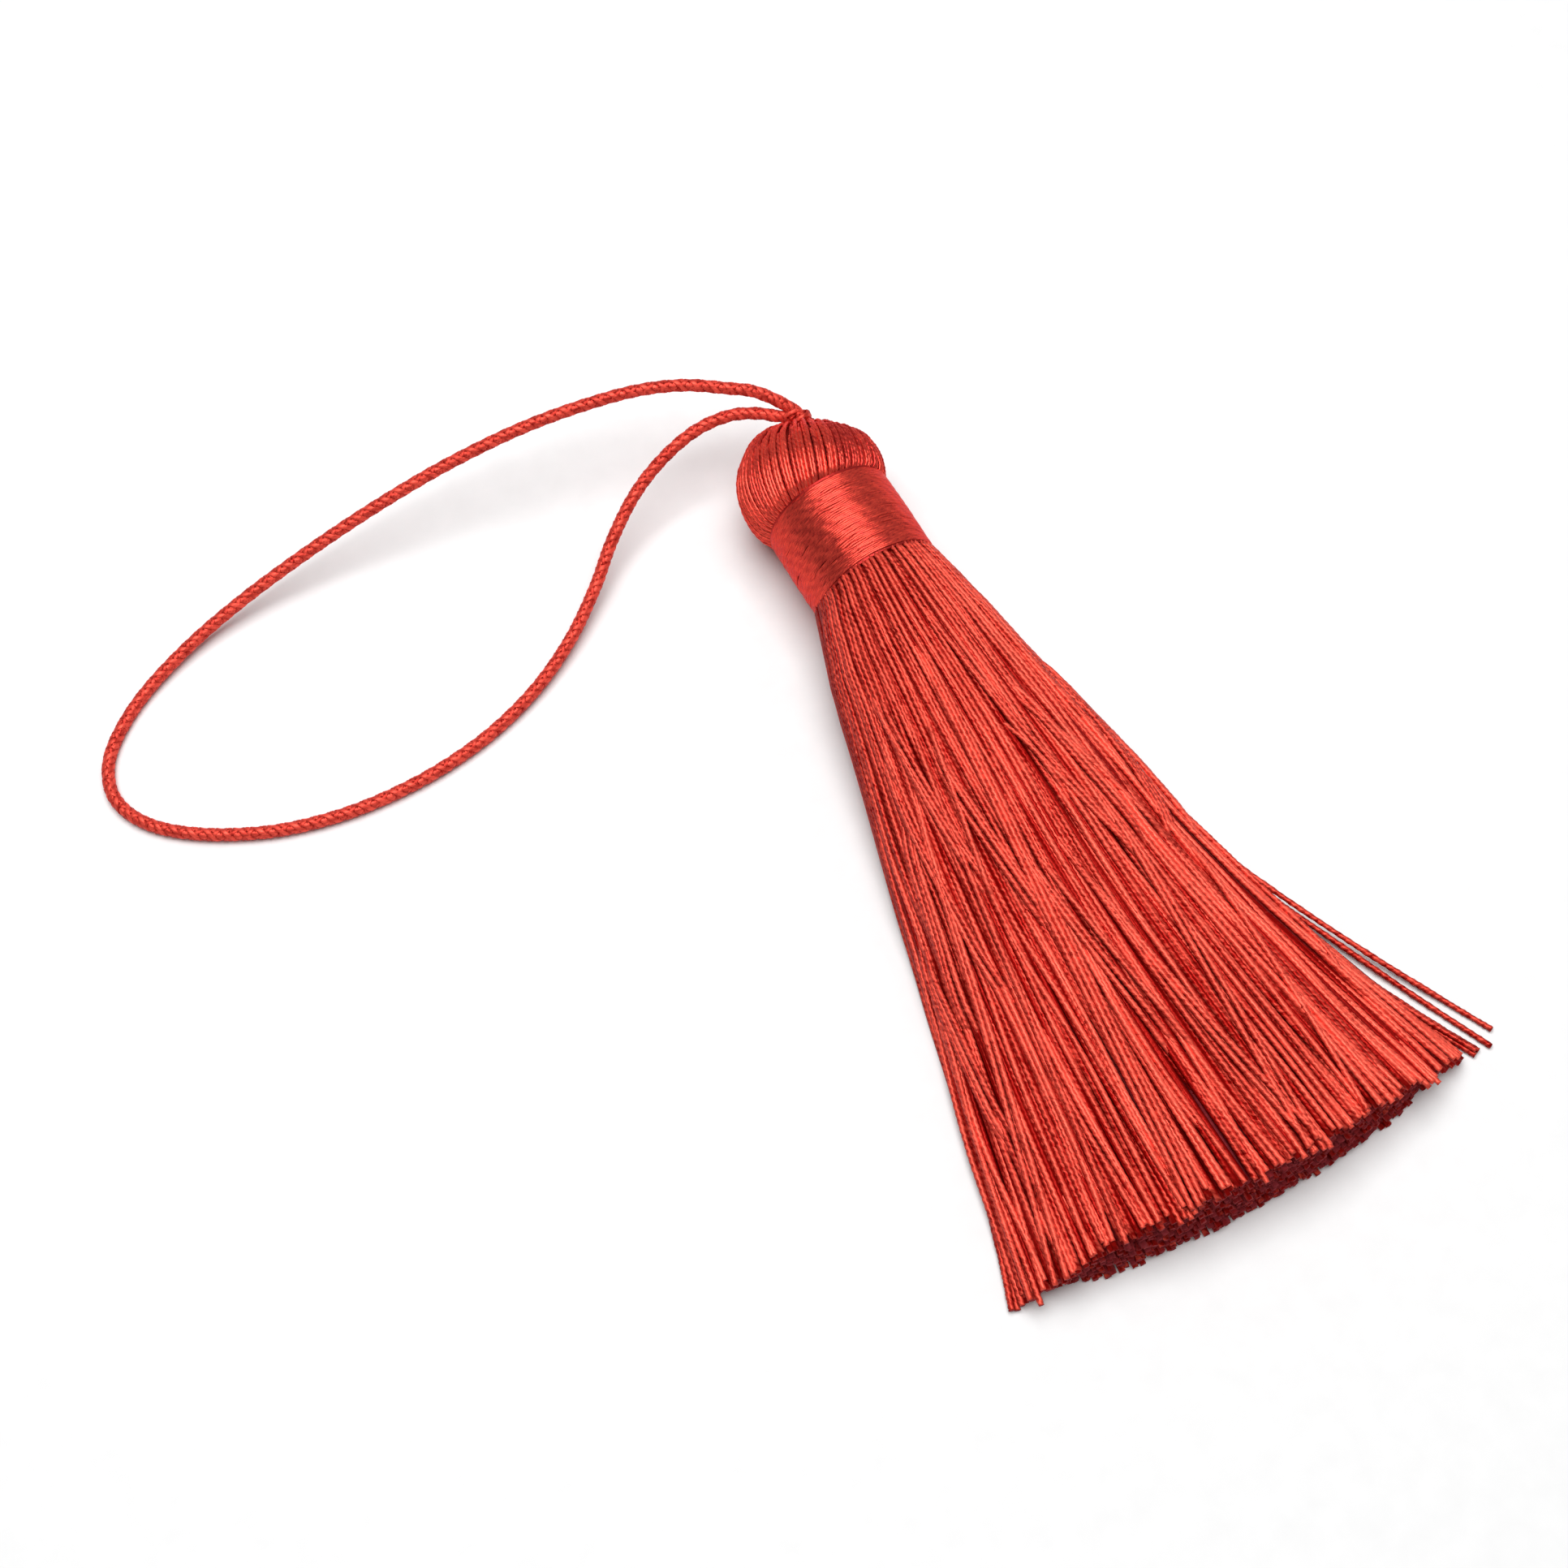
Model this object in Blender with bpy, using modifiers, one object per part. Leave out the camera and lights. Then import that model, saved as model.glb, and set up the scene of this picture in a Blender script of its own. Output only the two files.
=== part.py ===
"""Red silk tassel, lying on a level surface with its hanging loop spread out beside it.

Units are metres. +Z is up, the surface is Z = 0, and +Y points from the hem to the head.
Inside this file the tassel is laid out from the tip of its head: `below` is a distance from that
tip towards the hem, and X is measured from the tassel's own centre line. Every object is then
placed at TIP, which puts the middle of the tassel's footprint at the origin.
"""
import math
import random
from collections import namedtuple

import bmesh
import bpy
from mathutils import Vector

MM = 0.001
SHARP_ANGLE = math.radians(40)
MERGE_DISTANCE = 0.0001 * MM
CUT_TOLERANCE = 0.00001 * MM

# Place of the head's tip, seen from the middle of the footprint
TIP = Vector((-1.7 * MM, 39.27 * MM, 0.0))

# Head: a ball of thread folded over the loop, with a small flat spot where it rests
HEAD_RADIUS = 6.7 * MM
HEAD_HALF_HEIGHT = 6.3 * MM
HEAD_SINK = 0.25 * MM
AXIS_HEIGHT = HEAD_RADIUS - HEAD_SINK
HEAD_CENTRE = Vector((-0.15 * MM, -6.5 * MM, AXIS_HEIGHT))
HEAD_MERIDIANS = 30
HEAD_RINGS = 16

# Funnel at the head's top, where the cord comes out; the head lies a little askew
FUNNEL_YAW = math.radians(24)
FUNNEL_PITCH = math.radians(13)
FUNNEL_DEPTH = 1.1 * MM
FUNNEL_SPREAD = math.radians(15)
NOTCH_DEPTH = 0.5 * MM
NOTCH_SPREAD = math.radians(22)
NOTCH_REACH = math.radians(50)

# Neck, and the band of fine thread wound round it
CORE_RADIUS = 5.3 * MM
CORE_TOP = 7.8 * MM
BAND_TOP = 9.2 * MM
BAND_BOTTOM = 18.1 * MM
BAND_RADIUS = 5.97 * MM
BAND_WALL = 0.45 * MM
BAND_SWELL = 0.08 * MM
BAND_EDGE = 0.15 * MM
CLEARANCE = 0.3 * MM
GROOVE_BEYOND = 2.0 * MM
TURN_STEPS = 36

# Collar just below the band, where all the strands are fused
COLLAR_RADIUS = 6.4 * MM
COLLAR_SLOPE = 0.4 * MM
COLLAR_BOTTOM = 19.5 * MM
ROOT_START = 18.9 * MM

# Skirt: cut level at the hem and spread by its own weight on the surface
HEM = 79.7 * MM
HEM_CORNER_RISE = 1.7 * MM
HEM_CORNER_POWER = 2.0
HEM_SLANT = 0.3 * MM
HEM_RAGGED = 0.5 * MM
COLUMNS = 42
LAYERS = 7
FEWEST_LAYERS = 2
EDGE_SHARE = 0.985
PARTING_SHARE = 0.18
UNEVEN_SHARE = 0.13
STRAND_SEED = 11

# Cross-sections of the skirt: the distance below the tip, the reach of the left and right edges,
# the height of the middle line, the crown above it, the belly under it, and how the arch falls
# away to the sides, from 0.5 for an ellipse to 1.0 for a parabola
Section = namedtuple("Section", "below left right middle above under fall")
SECTIONS = [
    Section(ROOT_START, 6.15 * MM, 6.15 * MM, AXIS_HEIGHT, 6.2 * MM, 6.2 * MM, 0.5),
    Section(25.0 * MM, 8.4 * MM, 7.9 * MM, 5.1 * MM, 7.3 * MM, 4.9 * MM, 0.5),
    Section(52.0 * MM, 15.1 * MM, 13.5 * MM, 0.0, 9.5 * MM, 0.0, 0.55),
    Section(HEM, 21.9 * MM, 23.2 * MM, 0.0, 7.3 * MM, 0.0, 0.6),
]

# Two single threads that part from the skirt's right edge and lie free on the surface
STRAY_WIDTH = 0.5 * MM
STRAY_LEAVES = 61.0 * MM
Stray = namedtuple("Stray", "layer across below")
STRAYS = [
    Stray(layer=0, across=24.15 * MM, below=78.6 * MM),
    Stray(layer=1, across=25.1 * MM, below=77.4 * MM),
]

# The outermost lock on the left stands a little away from its neighbours at the hem
LOCK_APART = 0.55 * MM

# Knot of the cord, seated in the funnel
KNOT_YAW = math.radians(20)
KNOT_PITCH = math.radians(13)
KNOT_FROM_CENTRE = 6.93 * MM
KNOT_HALF_LENGTH = 1.55 * MM
KNOT_HALF_WIDTH = 1.1 * MM
KNOT_TURNS = 3
KNOT_SEGMENTS = 16
KNOT_RINGS = 10
KNOT_RIDGE = 0.12
KNOT_HEADING = math.radians(-29)

# Hanging loop: a braided cord, both ends of which run into the knot
CORD_DIAMETER = 1.2 * MM
CORD_STEP = 2.5 * CORD_DIAMETER
CORD_BEVEL_STEPS = 2
ROUTE_STEPS = 12
CORD_ROUTE = [
    # X, Y and Z of the cord's centre, in millimetres from the head's tip on the surface
    (1.45, 1.45, 8.85),
    (-0.4, 3.15, 9.4),
    (-2.5, 4.55, 9.7),
    (-6, 6.75, 9.9),
    (-10.3, 8.45, 9.8),
    (-16, 9.85, 9.2),
    (-21.3, 10.75, 8.4),
    (-27.3, 11.35, 7.2),
    (-32.7, 11.55, 6),
    (-38.3, 11.55, 4.6),
    (-44.1, 11.25, 3.2),
    (-49.3, 10.65, 2.1),
    (-54.5, 9.55, 1.2),
    (-59.5, 7.65, 0.75),
    (-63.1, 5.45, 0.62),
    (-65.7, 2.85, 0.62),
    (-66.8, 0.05, 0.62),
    (-66.5, -2.45, 0.62),
    (-65.1, -4.85, 0.62),
    (-62.7, -7.05, 0.62),
    (-59.3, -9.15, 0.62),
    (-55.1, -10.95, 0.62),
    (-50, -12.15, 0.62),
    (-44.7, -12.55, 0.62),
    (-39.7, -12.25, 0.62),
    (-34.7, -11.25, 0.65),
    (-29.7, -9.45, 0.9),
    (-25, -6.85, 1.4),
    (-20.9, -3.75, 2.2),
    (-17.6, -0.85, 3.3),
    (-13.9, 1.65, 4.6),
    (-10.2, 3.05, 5.9),
    (-6.5, 3.65, 6.9),
    (-3.3, 3.25, 7.5),
    (-1, 2.15, 7.7),
    (0.6, 0.9, 7.7),
]

SKIRT_RED = (0.72, 0.045, 0.02, 1.0)
BAND_RED = (0.66, 0.04, 0.02, 1.0)
CORD_RED = (0.70, 0.05, 0.03, 1.0)
KNOT_RED = (0.70, 0.055, 0.03, 1.0)


def clear_scene():
    for obj in list(bpy.data.objects):
        bpy.data.objects.remove(obj, do_unlink=True)


def new_collection(name):
    collection = bpy.data.collections.new(name)
    bpy.context.scene.collection.children.link(collection)
    return collection


def silk(name, colour, roughness):
    """Return a plain silk material."""
    material = bpy.data.materials.new(name)
    material.use_nodes = True
    shader = material.node_tree.nodes["Principled BSDF"]
    shader.inputs["Base Color"].default_value = colour
    shader.inputs["Roughness"].default_value = roughness
    shader.inputs["Metallic"].default_value = 0.0
    return material


def place(name, data, collection, material=None):
    """Link a new object that holds `data`, placed at the tassel's tip."""
    obj = bpy.data.objects.new(name, data)
    obj.location = TIP
    if material is not None:
        data.materials.append(material)
    collection.objects.link(obj)
    return obj


def mesh_from(bm, name):
    """Turn a finished bmesh into a mesh."""
    mesh = bpy.data.meshes.new(name)
    bm.to_mesh(mesh)
    bm.free()
    mesh.shade_smooth()
    mesh.set_sharp_from_angle(angle=SHARP_ANGLE)
    return mesh


def heading(yaw, pitch):
    """Unit vector turned from +Y towards +X by yaw, and upwards by pitch."""
    level = math.cos(pitch)
    return Vector((math.sin(yaw) * level, math.cos(yaw) * level, math.sin(pitch)))


def head_depth(polar, around):
    """How far the head's surface is drawn in, at an angle from the funnel and around it."""
    funnel = FUNNEL_DEPTH * math.exp(-((polar / FUNNEL_SPREAD) ** 2))
    near_notch = math.exp(-((around / NOTCH_SPREAD) ** 2))
    notch = NOTCH_DEPTH * near_notch * math.exp(-((polar / NOTCH_REACH) ** 2))
    return funnel + notch * min(1.0, polar / FUNNEL_SPREAD)


def head_mesh():
    """The ball of the head: funnel, notch beside it, and flat spot underneath."""
    bm = bmesh.new()
    bmesh.ops.create_uvsphere(bm, u_segments=HEAD_MERIDIANS, v_segments=HEAD_RINGS, radius=1.0)
    top = heading(FUNNEL_YAW, FUNNEL_PITCH)
    turn = Vector((0, 0, 1)).rotation_difference(top)
    for vert in bm.verts:
        polar = vert.co.angle(Vector((0, 0, 1)))
        around = math.atan2(vert.co.y, vert.co.x)
        across, along, height = vert.co * (1 - head_depth(polar, around) / HEAD_RADIUS)
        ball = Vector((across * HEAD_RADIUS, along * HEAD_RADIUS, height * HEAD_HALF_HEIGHT))
        vert.co = HEAD_CENTRE + turn @ ball
    geometry = bm.verts[:] + bm.edges[:] + bm.faces[:]
    cut = bmesh.ops.bisect_plane(
        bm, geom=geometry, dist=CUT_TOLERANCE, plane_co=(0, 0, 0), plane_no=(0, 0, -1), clear_outer=True
    )
    rim = [item for item in cut["geom_cut"] if isinstance(item, bmesh.types.BMEdge)]
    for flat_spot in bmesh.ops.contextual_create(bm, geom=rim)["faces"]:
        flat_spot.normal_update()
        if flat_spot.normal.z > 0:
            flat_spot.normal_flip()
    return mesh_from(bm, "head")


def turned_profile(name, profile):
    """Profile of (radius, below) pairs about the neck's axis, run down its outer side."""
    mesh = bpy.data.meshes.new(name)
    points = [(radius, -below, AXIS_HEIGHT) for radius, below in profile]
    edges = [(i, i + 1) for i in range(len(points) - 1)]
    if profile[0][0] > 0:
        edges.append((len(points) - 1, 0))
    mesh.from_pydata(points, edges, [])
    return mesh


def turn_about_neck(obj):
    """Spin a profile round the neck's axis; the pivot is an empty on that axis."""
    screw = obj.modifiers.new("turn", "SCREW")
    screw.axis = "Y"
    screw.object = neck_axis
    screw.angle = math.tau
    screw.steps = TURN_STEPS
    screw.render_steps = TURN_STEPS
    screw.use_merge_vertices = True
    screw.merge_threshold = MERGE_DISTANCE


def core_profile():
    """Neck and collar, from inside the head down to where the strands come out."""
    return [
        (0.0, CORE_TOP),
        (CORE_RADIUS, CORE_TOP),
        (CORE_RADIUS, BAND_BOTTOM + CLEARANCE),
        (COLLAR_RADIUS, BAND_BOTTOM + CLEARANCE + COLLAR_SLOPE),
        (COLLAR_RADIUS, COLLAR_BOTTOM),
        (0.0, COLLAR_BOTTOM),
    ]


def band_profile():
    """Wall of the wound band, a little fuller at its middle, with its edges eased."""
    inner = BAND_RADIUS - BAND_WALL
    half = (BAND_TOP + BAND_BOTTOM) / 2
    return [
        (inner, BAND_TOP),
        (BAND_RADIUS - BAND_EDGE, BAND_TOP),
        (BAND_RADIUS, BAND_TOP + 2 * BAND_EDGE),
        (BAND_RADIUS + BAND_SWELL, half),
        (BAND_RADIUS, BAND_BOTTOM - 2 * BAND_EDGE),
        (BAND_RADIUS - BAND_EDGE, BAND_BOTTOM),
        (inner, BAND_BOTTOM),
    ]


def groove_profile():
    """Room for the band, taken out of the head's lower side."""
    outside = HEAD_RADIUS + GROOVE_BEYOND
    return [
        (CORE_RADIUS, BAND_TOP - CLEARANCE),
        (outside, BAND_TOP - CLEARANCE),
        (outside, BAND_BOTTOM + CLEARANCE),
        (CORE_RADIUS, BAND_BOTTOM + CLEARANCE),
    ]


def arch_at(across, fall):
    """Share of its full height that the skirt has at a place across it, from -1 to 1."""
    return (1 - (EDGE_SHARE * across) ** 2) ** fall


def section_point(section, across, level):
    """Point of a cross-section: level runs from 0 on the underside to 1 on the crown."""
    reach = section.left if across < 0 else section.right
    arch = arch_at(across, section.fall)
    lowest = section.middle - section.under * arch
    highest = section.middle + section.above * arch
    return Vector((reach * across, -section.below, lowest + (highest - lowest) * level))


def skirt_point(across, level, below):
    """Point of the skirt on the straight line between the two nearest cross-sections."""
    step = 0
    while step < len(SECTIONS) - 2 and below > SECTIONS[step + 1].below:
        step += 1
    start, end = SECTIONS[step:step + 2]
    share = (below - start.below) / (end.below - start.below)
    return section_point(start, across, level).lerp(section_point(end, across, level), share)


def strand_end(across, level):
    """Where a strand is cut: the hem bows at its corners and slants under the crown."""
    corner = HEM_CORNER_RISE * abs(across) ** HEM_CORNER_POWER
    return HEM - corner - HEM_SLANT * level


def loft(bm, rings):
    """Join rings of four corners into one closed strand."""
    loops = [[bm.verts.new(corner) for corner in ring] for ring in rings]
    for ring, following in zip(loops, loops[1:]):
        for i in range(4):
            j = (i + 1) % 4
            bm.faces.new((ring[i], ring[j], following[j], following[i]))
    bm.faces.new(reversed(loops[0]))
    bm.faces.new(loops[-1])


def cell_ring(cell, below):
    """Four corners of a strand's own cell of the skirt, at a distance below the tip."""
    left, right, low, high = cell
    corners = ((left, low), (right, low), (right, high), (left, high))
    return [skirt_point(across, level, below) for across, level in corners]


def stray_ring(middle, below):
    """Square end of a single thread that lies on the surface."""
    half = STRAY_WIDTH / 2
    corners = ((-half, 0.0), (half, 0.0), (half, STRAY_WIDTH), (-half, STRAY_WIDTH))
    return [Vector((middle + dx, -below, dz)) for dx, dz in corners]


def uneven_steps(rng, count, low, high):
    """Limits of `count` uneven shares between low and high."""
    width = (high - low) / count
    inner = [low + width * (i + rng.uniform(-UNEVEN_SHARE, UNEVEN_SHARE)) for i in range(1, count)]
    return [low] + inner + [high]


def strands_mesh():
    """All the strands of the skirt, each standing apart from the next."""
    rng = random.Random(STRAND_SEED)
    bm = bmesh.new()
    columns = uneven_steps(rng, COLUMNS, -1.0, 1.0)
    for column, (left, right) in enumerate(zip(columns, columns[1:])):
        side_gap = (right - left) * PARTING_SHARE / 2
        middle = (left + right) / 2
        arch = arch_at(middle, SECTIONS[-1].fall)
        layers = uneven_steps(rng, max(FEWEST_LAYERS, round(LAYERS * arch)), 0.0, 1.0)
        for layer, (low, high) in enumerate(zip(layers, layers[1:])):
            level_gap = (high - low) * PARTING_SHARE / 2
            cell = (
                left + side_gap,
                right - side_gap,
                low + (level_gap if layer > 0 else 0.0),
                high - level_gap,
            )
            end = strand_end(middle, (low + high) / 2) - rng.uniform(0.0, HEM_RAGGED)
            rings = [cell_ring(cell, section.below) for section in SECTIONS[:-1]]
            if column == COLUMNS - 1:
                stray = STRAYS[layer]
                rings.append(cell_ring(cell, STRAY_LEAVES))
                rings.append(stray_ring(stray.across, stray.below))
            else:
                rings.append(cell_ring(cell, end))
            if column == 0:
                rings[-1] = [corner - Vector((LOCK_APART, 0, 0)) for corner in rings[-1]]
            loft(bm, rings)
    return mesh_from(bm, "strands")


def combine(target, operand, operation):
    boolean = target.modifiers.new(operand.name, "BOOLEAN")
    boolean.object = operand
    boolean.operation = operation
    boolean.solver = "EXACT"


def add_thread_bundle(parts, tools):
    """Head, neck and skirt: one bundle of thread, fused at the strands' roots."""
    bundle = place("thread_bundle", head_mesh(), parts, silk("skirt silk", SKIRT_RED, 0.45))
    core = place("core", turned_profile("core", core_profile()), tools)
    turn_about_neck(core)
    groove = place("binding_groove", turned_profile("groove", groove_profile()), tools)
    turn_about_neck(groove)
    strands = place("skirt_strands", strands_mesh(), tools)
    combine(bundle, core, "UNION")
    combine(bundle, groove, "DIFFERENCE")
    combine(bundle, strands, "UNION")


def add_neck_binding(parts):
    """The wound band round the neck."""
    mesh = turned_profile("band", band_profile())
    band = place("neck_binding", mesh, parts, silk("binding silk", BAND_RED, 0.35))
    turn_about_neck(band)


def add_loop_knot(parts):
    """A small lumpy knot: an egg with a few rope-like turns raised round it."""
    bm = bmesh.new()
    bmesh.ops.create_uvsphere(bm, u_segments=KNOT_SEGMENTS, v_segments=KNOT_RINGS, radius=1.0)
    seat = HEAD_CENTRE + heading(KNOT_YAW, KNOT_PITCH) * KNOT_FROM_CENTRE
    across = Vector((math.cos(KNOT_HEADING), math.sin(KNOT_HEADING), 0.0))
    turn = Vector((0, 0, 1)).rotation_difference(across)
    for vert in bm.verts:
        around = math.atan2(vert.co.y, vert.co.x)
        ridge = 1 + KNOT_RIDGE * math.cos(KNOT_TURNS * math.pi * vert.co.z + around)
        shape = Vector((KNOT_HALF_WIDTH * vert.co.x * ridge, KNOT_HALF_WIDTH * vert.co.y * ridge,
                        KNOT_HALF_LENGTH * vert.co.z))
        vert.co = seat + turn @ shape
    place("loop_knot", mesh_from(bm, "knot"), parts, silk("knot silk", KNOT_RED, 0.5))


def smooth_point(before, start, end, after, share):
    """Point between start and end on the smooth curve through four route points."""
    square = share * share
    cube = square * share
    return 0.5 * (
        2 * start
        + (end - before) * share
        + (2 * before - 5 * start + 4 * end - after) * square
        + (3 * start - before - 3 * end + after) * cube
    )


def smooth_route(route, step):
    """Evenly spaced points on a smooth curve through the route's points."""
    points = [Vector(point) * MM for point in route]
    padded = [2 * points[0] - points[1]] + points + [2 * points[-1] - points[-2]]
    fine = []
    for i in range(1, len(padded) - 2):
        for k in range(ROUTE_STEPS):
            fine.append(smooth_point(*padded[i - 1:i + 3], k / ROUTE_STEPS))
    fine.append(points[-1])
    lengths = [0.0]
    for start, end in zip(fine, fine[1:]):
        lengths.append(lengths[-1] + (end - start).length)
    count = round(lengths[-1] / step)
    even = []
    here = 0
    for k in range(count + 1):
        wanted = lengths[-1] * k / count
        while here < len(fine) - 2 and lengths[here + 1] < wanted:
            here += 1
        share = (wanted - lengths[here]) / (lengths[here + 1] - lengths[here])
        even.append(fine[here].lerp(fine[here + 1], share))
    return even


def add_hanging_loop(parts):
    """The loop's cord: one tube from the knot, out round the bend and back to the knot."""
    curve = bpy.data.curves.new("hanging_loop", "CURVE")
    curve.dimensions = "3D"
    curve.bevel_depth = CORD_DIAMETER / 2
    curve.bevel_resolution = CORD_BEVEL_STEPS
    curve.use_fill_caps = True
    route = smooth_route(CORD_ROUTE, CORD_STEP)
    spline = curve.splines.new("POLY")
    spline.points.add(len(route) - 1)
    for point, position in zip(spline.points, route):
        point.co = (*position, 1.0)
    place("hanging_loop", curve, parts, silk("cord silk", CORD_RED, 0.5))


clear_scene()
parts = new_collection("silk_tassel")
tools = new_collection("cutters")

neck_axis = bpy.data.objects.new("neck_axis", None)
neck_axis.location = TIP + Vector((0.0, 0.0, AXIS_HEIGHT))
tools.objects.link(neck_axis)

add_thread_bundle(parts, tools)
add_neck_binding(parts)
add_loop_knot(parts)
add_hanging_loop(parts)

for tool in tools.objects:
    tool.hide_render = True
    tool.display_type = "WIRE"
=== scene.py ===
# %% [markdown]
# # A red silk tassel, from its solids to its looks
#
# The tassel lies on a pale surface: a ball-shaped head of folded thread, a neck wound with fine
# floss, a skirt of several hundred two-ply threads, and a braided cord that makes a long loop.
# Its plain solids are loaded first and stay where they are. Everything below is modelled round
# them in metres, in the same frame, so that each thread lies where its solid lies.

# %% Load the fixed solids
import math

import bpy
import numpy as np
from mathutils import Matrix, Vector


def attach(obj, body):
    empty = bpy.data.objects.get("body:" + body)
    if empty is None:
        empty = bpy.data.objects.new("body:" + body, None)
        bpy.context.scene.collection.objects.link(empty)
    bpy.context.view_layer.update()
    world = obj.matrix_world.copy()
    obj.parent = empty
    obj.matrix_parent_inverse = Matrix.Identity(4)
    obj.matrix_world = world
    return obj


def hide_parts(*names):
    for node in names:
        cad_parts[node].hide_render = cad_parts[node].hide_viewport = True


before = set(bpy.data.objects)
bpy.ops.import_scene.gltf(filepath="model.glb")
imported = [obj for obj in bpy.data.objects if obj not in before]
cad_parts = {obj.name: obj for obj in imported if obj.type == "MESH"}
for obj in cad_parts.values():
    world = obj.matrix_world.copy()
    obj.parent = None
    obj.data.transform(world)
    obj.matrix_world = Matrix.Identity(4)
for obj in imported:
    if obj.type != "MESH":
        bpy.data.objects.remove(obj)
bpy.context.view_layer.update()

MM = 0.001
print("solids:", ", ".join(sorted(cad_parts)))

# %% [markdown]
# ## The camera
#
# The picture looks steeply down on the tassel from the side of its hem, and a little from the
# left. A camera could be placed by its own position and turns, but it is easier to place by what
# it looks at: a target, a distance and two angles. From these come the three directions of the
# camera (right, up and forward), and together they make its matrix.

# %% Camera
FRAME_SIDE = 1932
FOCAL_PIXELS = 3200
SENSOR_WIDTH = 36.0
CAMERA_AZIMUTH = math.radians(-29.47)
CAMERA_DEPRESSION = math.radians(65.0)
CAMERA_DISTANCE = 227.8 * MM
CAMERA_TARGET = Vector((-16.9 * MM, 11.07 * MM, 0.0))


def add_camera():
    """A camera that looks at the target from its distance and angles."""
    level = math.cos(CAMERA_DEPRESSION)
    forward = Vector((
        -math.sin(CAMERA_AZIMUTH) * level,
        math.cos(CAMERA_AZIMUTH) * level,
        -math.sin(CAMERA_DEPRESSION),
    ))
    right = forward.cross(Vector((0, 0, 1))).normalized()
    up = right.cross(forward)
    lens = bpy.data.cameras.new("camera")
    lens.sensor_width = SENSOR_WIDTH
    lens.lens = lens.sensor_width * FOCAL_PIXELS / FRAME_SIDE
    lens.clip_start = 1 * MM
    camera = bpy.data.objects.new("camera", lens)
    place = CAMERA_TARGET - forward * CAMERA_DISTANCE
    turn = Matrix((right, up, -forward)).transposed().to_4x4()
    camera.matrix_world = Matrix.Translation(place) @ turn
    bpy.context.scene.collection.objects.link(camera)
    bpy.context.scene.camera = camera
    return camera


camera = add_camera()
print(f"lens {camera.data.lens:.2f} mm, camera at {[round(c / MM, 1) for c in camera.location]} mm")

# %% [markdown]
# ## Shader arithmetic
#
# A material is a graph of nodes, and its sums read badly as a list of nodes and links. A small
# class that wraps one socket lets the sums be written as Python expressions instead: each operator
# adds one Math node. One method makes every other kind of node, its settings first and its
# sockets after them.

# %% A shader value
class Shade:
    """One output socket of a material's graph. Arithmetic on it adds Math nodes."""

    def __init__(self, tree, socket=None):
        self.tree = tree
        self.socket = socket

    def node(self, kind, settings, values, output=0):
        """A node of any kind: its settings first, then the values or links of its sockets."""
        made = self.tree.nodes.new(kind)
        for name, setting in settings.items():
            setattr(made, name, setting)
        for name, value in values.items():
            if isinstance(value, Shade):
                self.tree.links.new(value.socket, made.inputs[name])
            else:
                made.inputs[name].default_value = value
        return Shade(self.tree, made.outputs[output])

    def maths(self, operation, first, second=0.0):
        """A Math node on one or two values."""
        return self.node("ShaderNodeMath", {"operation": operation}, {0: first, 1: second})

    def __add__(self, other):
        return self.maths("ADD", self, other)

    __radd__ = __add__

    def __mul__(self, other):
        return self.maths("MULTIPLY", self, other)

    __rmul__ = __mul__

    def __sub__(self, other):
        return self.maths("SUBTRACT", self, other)

    def __rsub__(self, other):
        return self.maths("SUBTRACT", other, self)

    def cosine(self):
        return self.maths("COSINE", self)

    def between(self, low, high):
        """0 at low, 1 at high, and held outside them."""
        limits = {"From Min": low, "From Max": high, "To Min": 0.0, "To Max": 1.0}
        return self.node("ShaderNodeMapRange", {"clamp": True}, {"Value": self, **limits})

    def blend(self, colour_at_0, colour_at_1):
        """A colour between two others, by this value."""
        settings = {"data_type": "RGBA", "blend_type": "MIX"}
        return self.node("ShaderNodeMix", settings, {0: self, 6: colour_at_0, 7: colour_at_1}, 2)


# %% [markdown]
# ## Meshes from many tubes
#
# Hundreds of threads as separate curve objects would be slow and heavy, so each group of threads
# is one joined mesh that is filled from arrays. The centre lines come first. A ring of points is
# laid round each step of each line, the rings are joined with four-cornered faces, and a flat face
# closes each cut end. Two numbers go along with every corner: how far along the thread it is, in
# millimetres, and how far round. The material reads them to draw the ply of the thread.

# %% Curves through points
def unit(vectors):
    """The same directions, each one long."""
    return vectors / np.linalg.norm(vectors, axis=-1, keepdims=True)


def ease(value, start, end):
    """Smooth step from 0 at start to 1 at end."""
    share = np.clip((value - start) / (end - start), 0.0, 1.0)
    return share * share * (3 - 2 * share)


def resample(rows, count):
    """Smooth curve through the points of each row (rows, points, values), read at even steps."""
    last = rows.shape[1] - 1
    place = np.linspace(0, last, count)
    begin = np.minimum(place.astype(int), last - 1)
    share = (place - begin)[:, None]
    lead = 2 * rows[:, :1] - rows[:, 1:2]
    tail = 2 * rows[:, -1:] - rows[:, -2:-1]
    padded = np.concatenate([lead, rows, tail], axis=1)
    before, here, there, after = (padded[:, begin + k] for k in range(4))
    return 0.5 * (
        2 * here
        + (there - before) * share
        + (2 * before - 5 * here + 4 * there - after) * share**2
        + (3 * here - before - 3 * there + after) * share**3
    )


def distances(path):
    """Distance along each path (..., points, 3) from its start."""
    steps = np.linalg.norm(np.diff(path, axis=-2), axis=-1)
    start = np.zeros(steps.shape[:-1] + (1,))
    return np.concatenate([start, np.cumsum(steps, axis=-1)], axis=-1)


def even_path(points, step):
    """The smooth curve through the points, as evenly spaced points about a step apart."""
    fine = resample(np.array([points], dtype=float), 12 * len(points))[0]
    along = distances(fine)
    wanted = np.linspace(0, along[-1], round(along[-1] / step) + 1)
    return np.stack([np.interp(wanted, along, fine[:, axis]) for axis in range(3)], axis=-1)


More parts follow.
